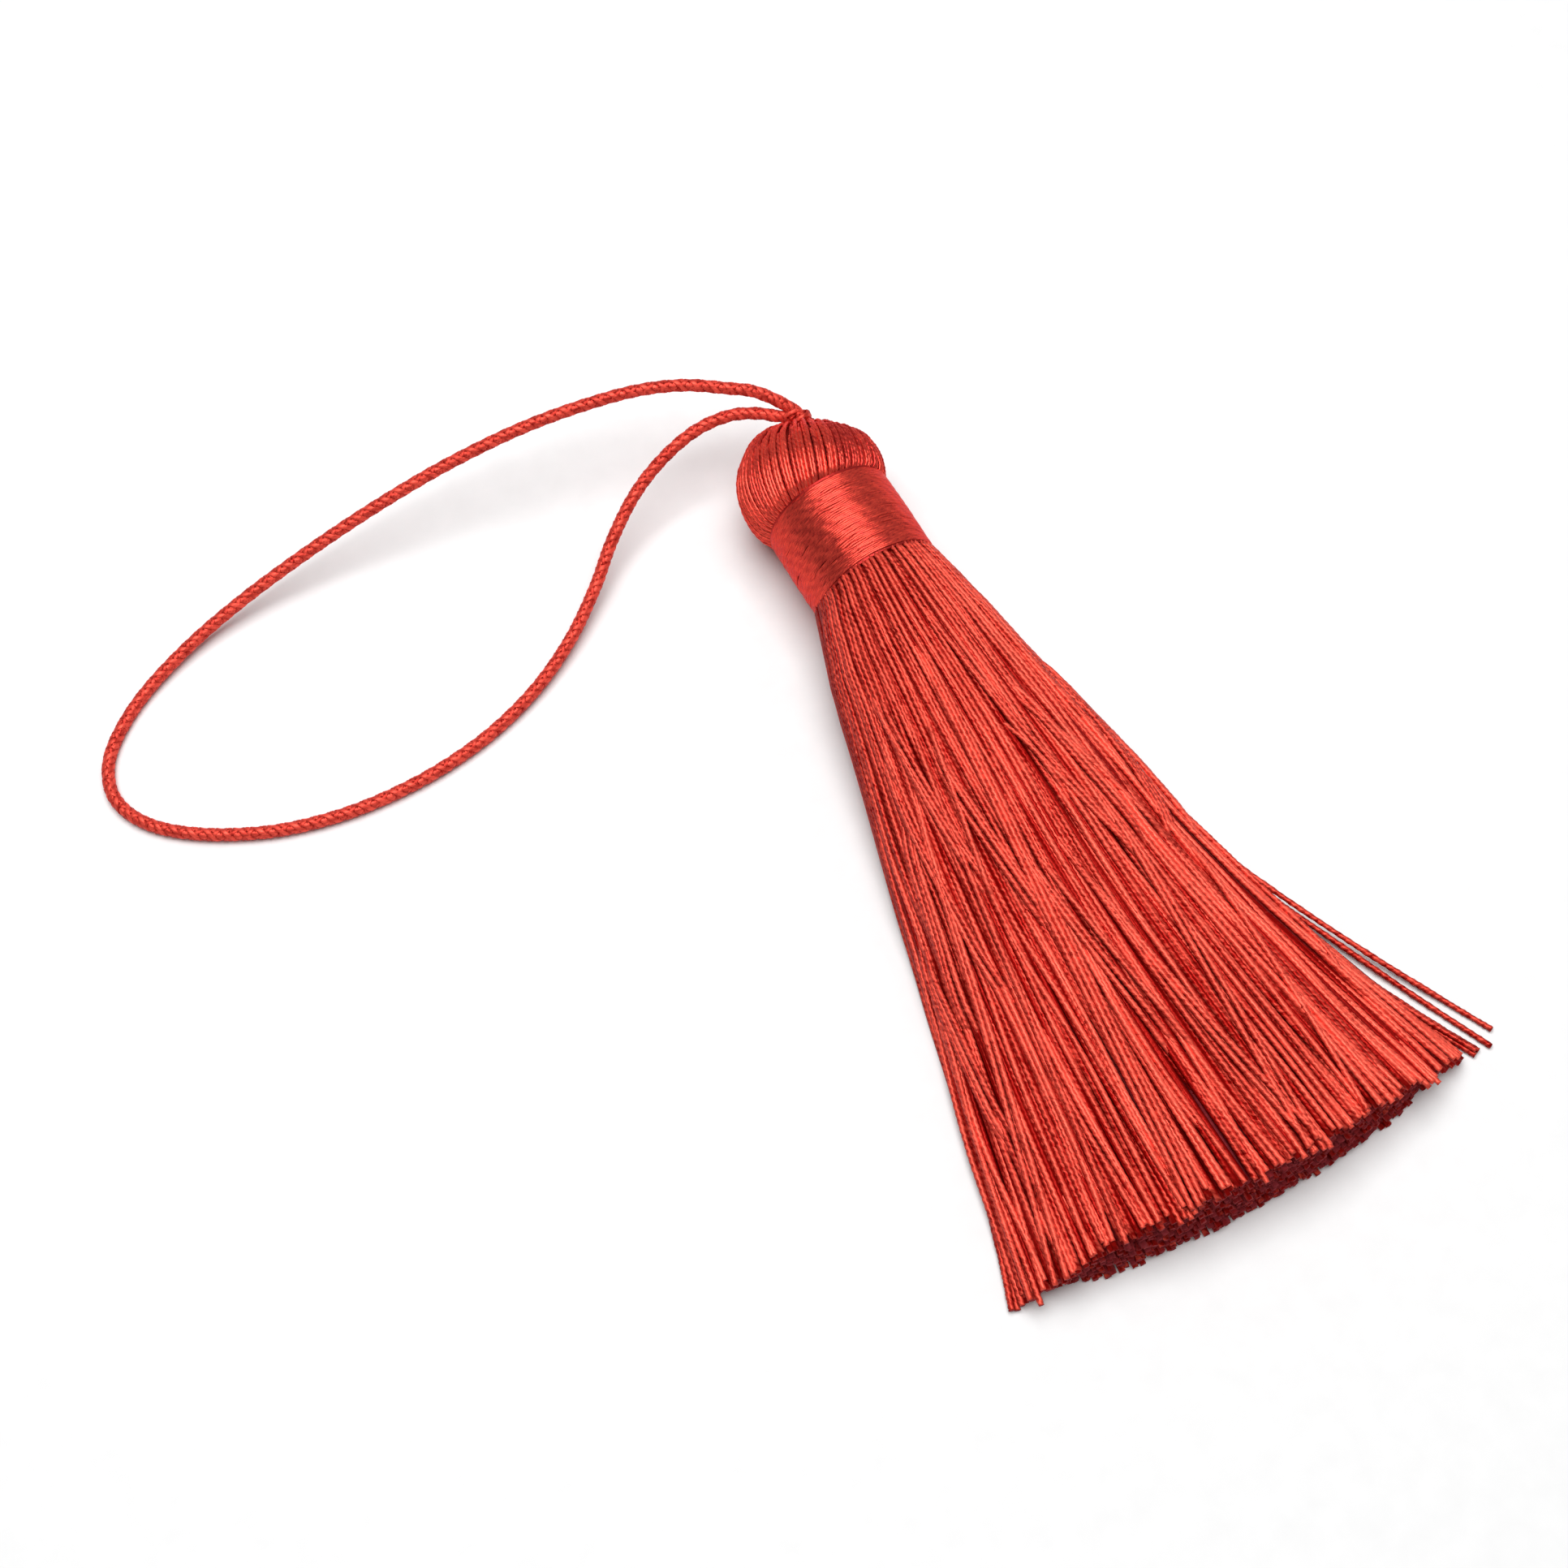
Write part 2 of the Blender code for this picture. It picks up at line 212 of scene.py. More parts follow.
def wander(rng, count, points, swings):
    """Smooth random offsets, one row of `points` values for each of `count` threads."""
    loose = rng.normal(size=(count, swings, 1))
    return resample(loose, points)[..., 0]


# %% Rings round the paths
def tube_rings(paths, facing, half_width, half_height, sides=6, phase=0.0, swell=1.0):
    """Rings of points round each path: an oval that stands on `facing`.

    `paths` is (tubes, rings, 3), and the result is (tubes, rings, sides, 3). A `swell` of the
    same shape without its last number moves single points in or out.
    """
    along = unit(np.gradient(paths, axis=1))
    side = unit(np.cross(along, np.broadcast_to(facing, paths.shape)))
    lift = np.cross(side, along)
    corner = np.arange(sides) * math.tau / sides + np.reshape(phase, (-1, 1, 1))
    wide = np.broadcast_to(half_width, paths.shape[:2])[..., None] * np.cos(corner) * swell
    high = np.broadcast_to(half_height, paths.shape[:2])[..., None] * np.sin(corner) * swell
    across, up = wide[..., None] * side[:, :, None], high[..., None] * lift[:, :, None]
    return paths[:, :, None] + across + up


# %% One mesh from groups of rings
CUT_MARK = -1.0


def tubes_object(name, groups, material):
    """One object from groups of (rings, tones), with a tone for each tube or for each ring."""
    points, quads, caps, quad_uvs, cap_uvs, tones = [], [], [], [], [], []
    first = 0
    for rings, tone_and_painted_light in groups:
        tubes, steps, sides = rings.shape[:3]
        number = first + np.arange(tubes * steps * sides).reshape(tubes, steps, sides)
        first += number.size
        here, there = number[:, :-1], number[:, 1:]
        next_there, next_here = np.roll(there, -1, axis=2), np.roll(here, -1, axis=2)
        quad = np.stack([here, there, next_there, next_here], axis=-1)
        along = distances(rings.mean(axis=2)) / MM
        around = np.arange(sides) / sides
        uv = np.zeros(quad.shape + (2,))
        uv[..., 0, 0] = uv[..., 3, 0] = along[:, :-1, None]
        uv[..., 1, 0] = uv[..., 2, 0] = along[:, 1:, None]
        uv[..., 0, 1] = uv[..., 1, 1] = around
        uv[..., 2, 1] = uv[..., 3, 1] = around + 1 / sides
        ends = np.concatenate([number[:, 0], number[:, -1, ::-1]])
        points.append(rings.reshape(-1, 3))
        quads.append(quad.reshape(-1, 4))
        caps.append(ends)
        quad_uvs.append(uv.reshape(-1, 2))
        cap_uvs.append(np.full((ends.size, 2), CUT_MARK))
        tone_and_painted_light = np.broadcast_to(np.reshape(tone_and_painted_light, (tubes, -1)), (tubes, steps))
        tones.append(np.repeat(tone_and_painted_light.ravel(), sides))
    points, quads, caps = np.concatenate(points), np.concatenate(quads), np.concatenate(caps)
    mesh = bpy.data.meshes.new(name)
    mesh.vertices.add(len(points))
    mesh.vertices.foreach_set("co", points.astype(np.float32).ravel())
    mesh.loops.add(quads.size + caps.size)
    corners = np.concatenate([quads.ravel(), caps.ravel()])
    mesh.loops.foreach_set("vertex_index", corners.astype(np.int32))
    mesh.polygons.add(len(quads) + len(caps))
    quad_starts = np.arange(len(quads)) * 4
    cap_starts = quads.size + np.arange(len(caps)) * caps.shape[1]
    starts = np.concatenate([quad_starts, cap_starts])
    mesh.polygons.foreach_set("loop_start", starts.astype(np.int32))
    mesh.update(calc_edges=True)
    mesh.polygons.foreach_set("use_smooth", np.arange(len(quads) + len(caps)) < len(quads))
    layer = mesh.uv_layers.new(name="thread")
    layer.data.foreach_set("uv", np.concatenate(quad_uvs + cap_uvs).astype(np.float32).ravel())
    # The tone runs from deep to lit; besides each thread's own random tone, it carries painted shade
    # and light.
    tone_values = mesh.attributes.new("tone_and_painted_light", "FLOAT", "POINT")
    tone_values.data.foreach_set("value", np.concatenate(tones).astype(np.float32))
    mesh.materials.append(material)
    obj = bpy.data.objects.new(name, mesh)
    bpy.context.scene.collection.objects.link(obj)
    triangles = 2 * len(quads) + len(caps) * (caps.shape[1] - 2)
    print(f"{name}: {sum(len(g[0]) for g in groups)} tubes, {triangles} triangles")
    return obj


def dress(obj, slot, *nodes):
    """The piece rides on the one body and stands for the nodes; `slot` is not used."""
    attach(obj, "root")
    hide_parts(*nodes)


# %% [markdown]
# ## Silk
#
# Silk is dyed through, so even its shine is red: light runs inside the fibre before it comes back.
# A plain gloss would add white to it. Here the gloss itself is tinted red, and a part of the
# surface answers as a red metal does, so the highlights stay red too. The colour runs from deep to
# lit by the sum of many small things: the thread's own tone, which also carries painted shade and
# painted light; the ply's lobes, lighter than the grooves between them, which is painted shade; the
# top of each thread, lighter than its sides, which is painted light and shade; fine filaments that
# run with the ply; and noise in three sizes, so that no two stretches look the same. The same
# plies and filaments raise the surface a little. Where a thread is cut, and deep inside the
# bundle, little light comes back, and the silk is painted maroon: painted shade.

# %% Silk materials
# A ring of a thread's tube every so often, turned with the twist by a sixth of a turn
PLY_RING_STEP = 0.225 * MM
PLY_TURN = math.tau / 6
TWIST_PER_MM = PLY_TURN / math.tau / PLY_RING_STEP * MM
PAINTED_SHADE_MAROON = (0.27, 0.028, 0.036, 1)
GLOSS_TINT = (1.0, 0.16, 0.11, 1)
SILK_IOR = 1.54
PATCH_SCALE = 900.0
FIBRE_LENGTHWISE = 2.2
# How much each thing lights or roughens the silk; ply grooves and tube sides are painted shade
LIT_BY_TONE = 0.95
PLY_GROOVE_PAINTED_SHADE = 0.32
LIT_BY_FIBRE = 1.2
LIT_BY_STREAK = 0.8
ROUGH_BY_NOISE = 0.4
PAINTED_TOP_LIGHT_LEVEL = 0.7
RELIEF_DEPTH = 0.05 * MM


def silk(
    name, lit, deep, plies, filaments, relief, speckle, streaks, mottle, sides, roughness, metallic
):
    """Dyed silk: `lit` where the tone is high, `deep` where it is low, and painted shade in maroon
    where it is cut or the tone falls well below zero.

    `filaments` is how many show round a thread, `streaks` how many patches a millimetre has along
    it, `speckle` how far these stand out, `mottle` how much its colour varies over the object, and
    `sides` how much darker the thread's sides are than its top, which is painted shade.
    """
    material = bpy.data.materials.new(name)
    material.use_nodes = True
    tree = material.node_tree
    graph = Shade(tree)
    shader = tree.nodes["Principled BSDF"]
    place = graph.node("ShaderNodeUVMap", {"uv_map": "thread"}, {})
    along = graph.node("ShaderNodeSeparateXYZ", {}, {0: place}, 0)
    around = graph.node("ShaderNodeSeparateXYZ", {}, {0: place}, 1)
    tone_and_painted_light = graph.node("ShaderNodeAttribute", {"attribute_name": "tone_and_painted_light"}, {}, 2)
    twisted = around - along * TWIST_PER_MM
    spot = {0: along * FIBRE_LENGTHWISE, 1: twisted * filaments, 2: tone_and_painted_light * 9.0}
    spot = graph.node("ShaderNodeCombineXYZ", {}, spot)
    fibre = graph.node("ShaderNodeTexNoise", {}, {"Vector": spot, "Scale": 1.0, "Detail": 2.0})
    body = graph.node("ShaderNodeTexCoord", {}, {}, 3)
    patch = {"Vector": body, "Scale": PATCH_SCALE, "Detail": 3.0}
    patch = graph.node("ShaderNodeTexNoise", {}, patch)
    lobe = (twisted * (math.tau * plies)).cosine() * 0.5 + 0.5
    streak = {0: along * streaks, 1: around * 1.5, 2: tone_and_painted_light * 7.0 + 3.0}
    streak = graph.node("ShaderNodeCombineXYZ", {}, streak)
    uneven = graph.node("ShaderNodeTexNoise", {}, {"Vector": streak, "Scale": 1.0, "Detail": 1.0})
    # Each tube's top is lighter than its sides, and ply lobes than their grooves: painted light and
    # shade.
    painted_top_light = ((around - 0.25) * math.tau).cosine()
    painted_light_and_tone = tone_and_painted_light * LIT_BY_TONE + (lobe - 0.5) * PLY_GROOVE_PAINTED_SHADE + (painted_top_light - PAINTED_TOP_LIGHT_LEVEL) * sides
    painted_light_and_tone = painted_light_and_tone + (fibre - 0.5) * LIT_BY_FIBRE + (patch - 0.5) * mottle
    painted_light_and_tone = painted_light_and_tone + (uneven - 0.5) * LIT_BY_STREAK
    dye_and_painted_light = painted_light_and_tone.between(0.0, 1.0).blend(deep, lit)
    # Maroon deep in the bundle, where the tone falls below zero, and on cut ends: painted shade.
    painted_shade_inside = tone_and_painted_light.between(-0.3, -1.0)
    ends = along.between(-0.2, -0.8)
    with_painted_shade = (painted_shade_inside + ends).between(0.0, 1.0).blend(dye_and_painted_light, PAINTED_SHADE_MAROON)
    tree.links.new(with_painted_shade.socket, shader.inputs["Base Color"])
    rough = (fibre - 0.5) * ROUGH_BY_NOISE + (patch - 0.5) * mottle * 0.8
    rough = rough + (painted_shade_inside + ends) * ROUGH_BY_NOISE + roughness
    tree.links.new(rough.between(0.0, 1.0).socket, shader.inputs["Roughness"])
    height = lobe * 0.45 + fibre * 0.6 + uneven * speckle
    raised = {"Strength": relief, "Distance": RELIEF_DEPTH, "Height": height}
    bump = graph.node("ShaderNodeBump", {}, raised)
    tree.links.new(bump.socket, shader.inputs["Normal"])
    shader.inputs["Metallic"].default_value = metallic
    shader.inputs["IOR"].default_value = SILK_IOR
    shader.inputs["Specular Tint"].default_value = GLOSS_TINT
    return material


thread_silk = silk(
    "two_ply_silk", lit=(0.99, 0.118, 0.076, 1), deep=(0.27, 0.003, 0.0025, 1),
    plies=2, filaments=6.0, relief=0.9, speckle=1.4, streaks=1.5, mottle=0.8, sides=0.48,
    roughness=0.38, metallic=0.35,
)
head_silk = silk(
    "head_silk", lit=(0.96, 0.100, 0.065, 1), deep=(0.46, 0.028, 0.024, 1),
    plies=2, filaments=6.0, relief=0.5, speckle=0.8, streaks=1.5, mottle=0.5, sides=0.25,
    roughness=0.27, metallic=0.65,
)
floss_silk = silk(
    "binding_floss", lit=(0.88, 0.084, 0.054, 1), deep=(0.40, 0.026, 0.024, 1),
    plies=1, filaments=5.0, relief=0.7, speckle=2.4, streaks=0.8, mottle=0.15, sides=0.35,
    roughness=0.33, metallic=0.66,
)
braid_silk = silk(
    "braid_silk", lit=(0.93, 0.098, 0.066, 1), deep=(0.28, 0.003, 0.003, 1),
    plies=1, filaments=8.0, relief=0.6, speckle=0.8, streaks=1.5, mottle=0.5, sides=0.5,
    roughness=0.40, metallic=0.35,
)
print("materials:", ", ".join(m.name for m in bpy.data.materials))

# %% [markdown]
# ## The hanging loop
#
# The loop is one fine round braid: eight strands, four wound each way, that pass over and under
# each other. Its route is a short list of points through which a smooth curve runs, high where it
# leaves the head and then lying on the surface. A bump on a plain tube would look painted on, so
# every strand is a real flat tube that follows its own helix and rises and dips at each crossing.
# A slim core closes the middle of the braid.

# %% Cord route and braid
TIP = np.array((-1.7, 39.27, 0.0)) * MM
CORD_DIAMETER = 1.2 * MM
CORD_ROUTE = [
    # X, Y and Z of the cord's centre, in millimetres from the head's tip on the surface
    (3.0, -1.5, 7.0),
    (2.4, -0.35, 7.9),
    (1.5, 1.1, 8.6),
    (-0.4, 3.15, 9.4),
    (-2.5, 4.55, 9.7),
    (-6, 6.75, 9.9),
    (-10.3, 8.45, 9.8),
    (-16, 9.85, 9.2),
    (-21.3, 10.75, 8.4),
    (-27.3, 11.35, 7.2),
    (-32.7, 11.55, 6),
    (-38.3, 11.55, 4.6),
    (-44.1, 11.25, 3.2),
    (-49.3, 10.65, 2.1),
    (-54.5, 9.55, 1.2),
    (-59.5, 7.65, 0.75),
    (-63.1, 5.45, 0.62),
    (-65.7, 2.85, 0.62),
    (-66.8, 0.05, 0.62),
    (-66.5, -2.45, 0.62),
    (-65.1, -4.85, 0.62),
    (-62.7, -7.05, 0.62),
    (-59.3, -9.15, 0.62),
    (-55.1, -10.95, 0.62),
    (-50, -12.15, 0.62),
    (-44.7, -12.55, 0.62),
    (-39.7, -12.25, 0.62),
    (-34.7, -11.25, 0.65),
    (-29.7, -9.45, 0.9),
    (-25, -6.85, 1.4),
    (-20.9, -3.75, 2.2),
    (-17.6, -0.85, 3.3),
    (-13.9, 1.65, 4.6),
    (-10.2, 3.05, 5.9),
    (-6.5, 3.65, 6.9),
    (-3.3, 3.25, 7.5),
    (-1, 2.15, 7.7),
    (0.6, 0.9, 7.7),
    (1.7, 0.1, 7.9),
]
BRAID_STRANDS = 4
BRAID_PITCH = 3.0 * MM
BRAID_STEPS = 14
# Shares of the cord's radius: a strand's middle, its rise and dip, and its half width and height
BRAID_MIDDLE = 0.77
BRAID_WEAVE = 0.07
STRAND_WIDTH = 0.47
STRAND_THICKNESS = 0.18
STRAND_TONES = (0.35, 0.75)


def braid_groups(path, diameter, upright):
    """Strands of a round braid along a path of points a fraction of a braid's pitch apart."""
    radius = diameter / 2
    along = unit(np.gradient(path, axis=0))
    side = unit(np.cross(along, upright))
    lift = np.cross(side, along)
    turned = distances(path) / BRAID_PITCH * math.tau
    strands, outward = [], []
    for hand in (1, -1):
        for k in range(BRAID_STRANDS):
            angle = hand * turned + k * math.tau / BRAID_STRANDS
            # Strands of the two hands meet twice a turn for each strand, over and under by turns
            weave = hand * np.cos(BRAID_STRANDS * turned + k * math.pi)
            out = np.cos(angle)[:, None] * side + np.sin(angle)[:, None] * lift
            strands.append(path + out * (radius * (BRAID_MIDDLE + BRAID_WEAVE * weave))[:, None])
            outward.append(out)
    strands, outward = np.array(strands), np.array(outward)
    rings = tube_rings(strands, outward, radius * STRAND_WIDTH, radius * STRAND_THICKNESS)
    tones = np.linspace(*STRAND_TONES, len(strands))
    core = tube_rings(path[None], upright, radius * BRAID_MIDDLE, radius * BRAID_MIDDLE)
    # The core's tone of zero gives the silk's deep colour: painted shade between the strands, on top
    # of their real shade.
    return [(rings, tones), (core, np.zeros(1))]


route = even_path(np.array(CORD_ROUTE) * MM, BRAID_PITCH / BRAID_STEPS) + TIP
cord_groups = braid_groups(route, CORD_DIAMETER, (0, 0, 1))
cord = tubes_object("cord_braid", cord_groups, braid_silk)
dress(cord, "cord_silk", "hanging_loop")

# %% [markdown]
# ## The knot
#
# Where the two ends of the loop go into the head, they are held by a small knot that is half sunk
# in the threads. It is the same braid, so the same function makes it: tight wraps side by side
# along a short line that slopes down to the right, over the head's top.

# %% Knot of the loop
HEAD_RADIUS = 6.7 * MM
HEAD_HALF_HEIGHT = 6.3 * MM
AXIS_HEIGHT = 6.45 * MM
HEAD_CENTRE = TIP + np.array((-0.15 * MM, -6.5 * MM, AXIS_HEIGHT))
KNOT_START = TIP + np.array((1.55, 0.50, 8.10)) * MM
KNOT_END = TIP + np.array((2.95, -1.20, 7.65)) * MM
KNOT_WRAPS = 2.3
KNOT_WRAP_RADIUS = 0.46 * MM
KNOT_CORD = 0.95 * MM
KNOT_FROM = math.radians(200)
KNOT_POINTS = 90


def heading(yaw, pitch):
    """Unit vector turned from +Y towards +X by yaw, and upwards by pitch."""
    level = math.cos(pitch)
    return np.array((math.sin(yaw) * level, math.cos(yaw) * level, math.sin(pitch)))


def knot_path():
    """A short helix whose axis runs along the knot."""
    axis = unit(KNOT_END - KNOT_START)
    level = unit(np.cross((0, 0, 1.0), axis))
    share = np.linspace(0, 1, KNOT_POINTS)
    angle = KNOT_FROM - share * KNOT_WRAPS * math.tau
    around = np.cos(angle)[:, None] * level + np.sin(angle)[:, None] * np.cross(axis, level)
    return KNOT_START + around * KNOT_WRAP_RADIUS + share[:, None] * (KNOT_END - KNOT_START)


knot_line = even_path(knot_path(), BRAID_PITCH / BRAID_STEPS)
knot_groups = braid_groups(knot_line, KNOT_CORD, KNOT_END - KNOT_START)
knot = tubes_object("loop_knot_wraps", knot_groups, braid_silk)
dress(knot, "cord_silk", "loop_knot")

# %% [markdown]
# ## Two-ply thread
#
# Every thread of the head and the skirt is two plies twisted softly together, so its outline
# rises and falls a little as the twist goes round. Two full tubes for each would take too many
# faces. One tube whose section swells where a ply stands out is enough, and the material draws
# the fine filaments that run with the twist. The whole width wavers a little too, as spun silk's.

# %% Two-ply thread
PLY_GROOVE = 0.19
UNEVEN_WIDTH = 0.05
UNEVEN_SWINGS = 40


def ply_rings(rng, paths, facing, width, sides=6):
    """Rings along paths of points about PLY_RING_STEP apart, with the swell of two plies."""
    corner = np.arange(sides) * math.tau / sides
    turned = np.arange(paths.shape[1])[None, :, None] * PLY_TURN
    twist = turned + rng.uniform(0, math.tau, (len(paths), 1, 1)) - corner
    swell = 1 - PLY_GROOVE * (0.5 - 0.5 * np.cos(2 * twist))
    uneven = wander(rng, len(paths), paths.shape[1], UNEVEN_SWINGS)
    swell = swell * (1 + UNEVEN_WIDTH * uneven)[..., None]
    return tube_rings(paths, facing, width / 2, width / 2, sides, swell=swell)


# %% [markdown]
# ## The head
#
# The head is the bundle's folded end: the threads come up out of a short slot beside the cord,
# run over a ball and go in under the binding. A ball with grooves in its material would look
# smooth at its outline, so every thread is modelled. Each one is an arc from its own place on the
# slot to its own place on the neck. Only every third thread can lie on the surface near the slot,
# and the rest come up between them further out, which is what makes the deep grooves at the top.
# A closed ball lies just under the threads, so that no light comes through between them.

# %% Head threads
FUNNEL_YAW = math.radians(24)
FUNNEL_PITCH = math.radians(13)
FUNNEL_DEPTH = 1.1 * MM
FUNNEL_SPREAD = math.radians(15)
NOTCH_DEPTH = 1.6 * MM
NOTCH_AROUND = math.radians(-52)
NOTCH_AWAY = math.radians(25)
NOTCH_SPREAD = math.radians(13)
FULLER = [
    # direction from the head's centre, spread in degrees and height in millimetres
    ((0.94, 0.10, 0.30), 32, 0.42),
    ((-0.23, 0.92, 0.32), 24, 0.32),
]
SLOT_HALF_LENGTH = math.radians(19)
SLOT_HALF_WIDTH = math.radians(7)
SLOT_HEADING = math.radians(-29)
HEAD_THREADS = 108
HEAD_THREAD_WIDTH = 0.44 * MM
HEAD_RINGS = 70
# Shares of the way from the slot to the binding, where 0 and 1 are passed at both ends
HEAD_SPAN = (-0.06, 1.10)
# Millimetres deeper, tucked in under the binding, swaying, and sunk at random
HEAD_ONE_DEEPER = 0.42
HEAD_TUCK = 0.45
HEAD_SWAY = 0.05
HEAD_SUNK = 0.10
# Where the three kinds of thread reach the surface, and over how long a share
RISE_AT = (0.0, 0.17, 0.30)
RISE_LENGTH = 0.18
# Tones, where 0 is deep and 1 is lit; buried threads and the head's right side get painted shade
HEAD_TONES = (0.45, 0.9)
BURIED_PAINTED_SHADE = 0.25
RIGHT_PAINTED_SHADE = 0.30
NECK_BELOW = 9.2 * MM
NECK_RADIUS = 5.95 * MM
BALL_UNDER = 0.32 * MM
BALL_RINGS = 40
BALL_SEGMENTS = 64

head_top = heading(FUNNEL_YAW, FUNNEL_PITCH)
head_turn = np.array(Vector((0, 0, 1)).rotation_difference(Vector(head_top)).to_matrix())


def head_surface(directions, depth):
    """Points of the head's surface in given directions from its centre, drawn in by a depth."""
    local = directions @ head_turn
    polar = np.arccos(np.clip(local[..., 2], -1, 1))
    around = np.arctan2(local[..., 1], local[..., 0])
    funnel = FUNNEL_DEPTH * np.exp(-((polar / FUNNEL_SPREAD) ** 2))
    beside = np.sin(polar) * (around - NOTCH_AROUND) / NOTCH_SPREAD
    notch = NOTCH_DEPTH * np.exp(-(beside**2) - ((polar - NOTCH_AWAY) / NOTCH_SPREAD) ** 2)
    drawn_in = funnel + notch + depth
    for direction, spread, height in FULLER:
        away = np.arccos(np.clip(directions @ unit(np.array(direction)), -1, 1))
        drawn_in = drawn_in - height * MM * np.exp(-((away / math.radians(spread)) ** 2))
    ball = local * (HEAD_RADIUS, HEAD_RADIUS, HEAD_HALF_HEIGHT)
    return HEAD_CENTRE + (ball * (1 - drawn_in / HEAD_RADIUS)[..., None]) @ head_turn.T


def head_arcs(rng):
    """Directions along each head thread, from the slot to just under the binding."""
    order = np.arange(HEAD_THREADS) + rng.uniform(-0.25, 0.25, HEAD_THREADS)
    angle = order * math.tau / HEAD_THREADS
    along_slot = np.array((math.cos(SLOT_HEADING), math.sin(SLOT_HEADING), 0.0))
    along_slot = unit(along_slot - head_top * (along_slot @ head_top))
    across_slot = np.cross(head_top, along_slot)
    start = (
        head_top
        + np.cos(angle)[:, None] * along_slot * math.tan(SLOT_HALF_LENGTH)
        - np.sin(angle)[:, None] * across_slot * math.tan(SLOT_HALF_WIDTH)
    )
    neck = np.stack([
        np.cos(angle) * NECK_RADIUS,
        np.full(HEAD_THREADS, HEAD_CENTRE[1] - TIP[1] + NECK_BELOW) * -1,
        np.sin(angle) * NECK_RADIUS,
    ], axis=-1)
    start, neck = unit(start), unit(neck)
    between = np.arccos(np.clip((start * neck).sum(axis=-1), -1, 1))[:, None, None]
    share = np.linspace(*HEAD_SPAN, HEAD_RINGS)[None, :, None]
    arcs = np.sin((1 - share) * between) * start[:, None] + np.sin(share * between) * neck[:, None]
    return unit(arcs), share[..., 0]


def head_groups(rng):
    """All the threads of the head, with those that start deeper rising to the surface."""
    arcs, share = head_arcs(rng)
    home = np.arange(HEAD_THREADS) % len(RISE_AT)
    rise_at = np.array(RISE_AT)[home] + rng.uniform(-0.07, 0.07, HEAD_THREADS)
    rise_at = rise_at[:, None]
    buried = (home > 0)[:, None] * (1 - ease(share, rise_at, rise_at + RISE_LENGTH))
    sway = wander(rng, HEAD_THREADS, HEAD_RINGS, 6) * HEAD_SWAY * MM
    sunk = rng.uniform(0, HEAD_SUNK, (HEAD_THREADS, 1)) * MM * (1 - ease(share, 0.7, 1.0))
    tuck = ease(share, 0.94, 1.08) * HEAD_TUCK * MM
    depth = HEAD_THREAD_WIDTH / 2 + buried * HEAD_ONE_DEEPER * MM + sway + sunk + tuck
    paths = head_surface(arcs, depth)
    paths[..., 2] = np.maximum(paths[..., 2], HEAD_THREAD_WIDTH / 2)
    facing = paths - HEAD_CENTRE
    # Buried and sunk threads, and those on the head's right, are darker: painted shade.
    tones = rng.uniform(*HEAD_TONES, (HEAD_THREADS, 1)) - buried * BURIED_PAINTED_SHADE - sunk / MM
    tones = tones - RIGHT_PAINTED_SHADE * ease(arcs[..., 0], 0.0, 0.5)
    return [(ply_rings(rng, paths, facing, HEAD_THREAD_WIDTH, sides=8), tones)]


def ball_under():
    """The closed ball just under the head's threads, which shows as the dark between them."""
    polar = np.linspace(0, math.pi, BALL_RINGS + 1)[1:-1, None]
    turn = np.arange(BALL_SEGMENTS) * math.tau / BALL_SEGMENTS
    level = np.broadcast_to(np.cos(polar), (BALL_RINGS - 1, BALL_SEGMENTS))
    rings = [np.sin(polar) * np.cos(turn), np.sin(polar) * np.sin(turn), level]
    rings = np.stack(rings, axis=-1).reshape(-1, 3)
    directions = np.concatenate([[(0, 0, 1)], rings, [(0, 0, -1)]]) @ head_turn.T
    depth = np.full(len(directions), HEAD_THREAD_WIDTH + BALL_UNDER)
    places = head_surface(directions, depth)
    places[:, 2] = np.maximum(places[:, 2], HEAD_THREAD_WIDTH)
    number = np.arange(len(rings)).reshape(-1, BALL_SEGMENTS) + 1
    following = np.roll(number, -1, axis=1)
    sides = np.stack([number[:-1], number[1:], following[1:], following[:-1]], axis=-1)
    faces = sides.reshape(-1, 4).tolist()
    last = len(places) - 1
    faces += [(0, here, there) for here, there in zip(number[0], following[0])]
    faces += [(last, there, here) for here, there in zip(number[-1], following[-1])]
    mesh = bpy.data.meshes.new("head_ball")
    mesh.from_pydata(places.tolist(), [], faces)
    mesh.shade_smooth()
    # With no tone the ball takes the silk's deep colour: painted shade between the threads, on top of
    # the real shade that they cast.
    mesh.materials.append(head_silk)
    ball = bpy.data.objects.new("head_ball", mesh)
    bpy.context.scene.collection.objects.link(ball)
    print(f"head_ball: {len(places)} points")
    return ball


head_rng = np.random.default_rng(5)
head = tubes_object("head_threads", head_groups(head_rng), head_silk)
dress(head, "skirt_silk", "thread_bundle")
head_ball = ball_under()
dress(head_ball, "skirt_silk", "thread_bundle")

# %% [markdown]
# ## The binding
#
# The neck is wound with fine untwisted floss, about fifty turns side by side. It is a single
# helix in fact, so it is modelled as one: a flat tube that climbs by its own width each turn.
# The turns are not quite level: they sway a little together, and each one has small waves of its
# own. Long waves that differ from turn to turn break the highlight's edge into streaks, which
# round bumps would not. On the left, the end of the floss was laid under the last turns, and
# there the winding opens to a thin line.

# %% Binding
BAND_TOP = 9.2 * MM
BAND_BOTTOM = 18.1 * MM
BAND_RADIUS = 5.98 * MM
BAND_SWELL = 0.06 * MM
BAND_EDGE = 0.15 * MM
BAND_TURNS = 50
BAND_STEPS = 112
FLOSS_THICKNESS = 0.12 * MM
FLOSS_OVERLAP = 0.86
WAVE_GROUPS = 32
WAVES_ROUND = 30
SHEET_STEPS = 6
OWN_WAVES_ROUND = 24
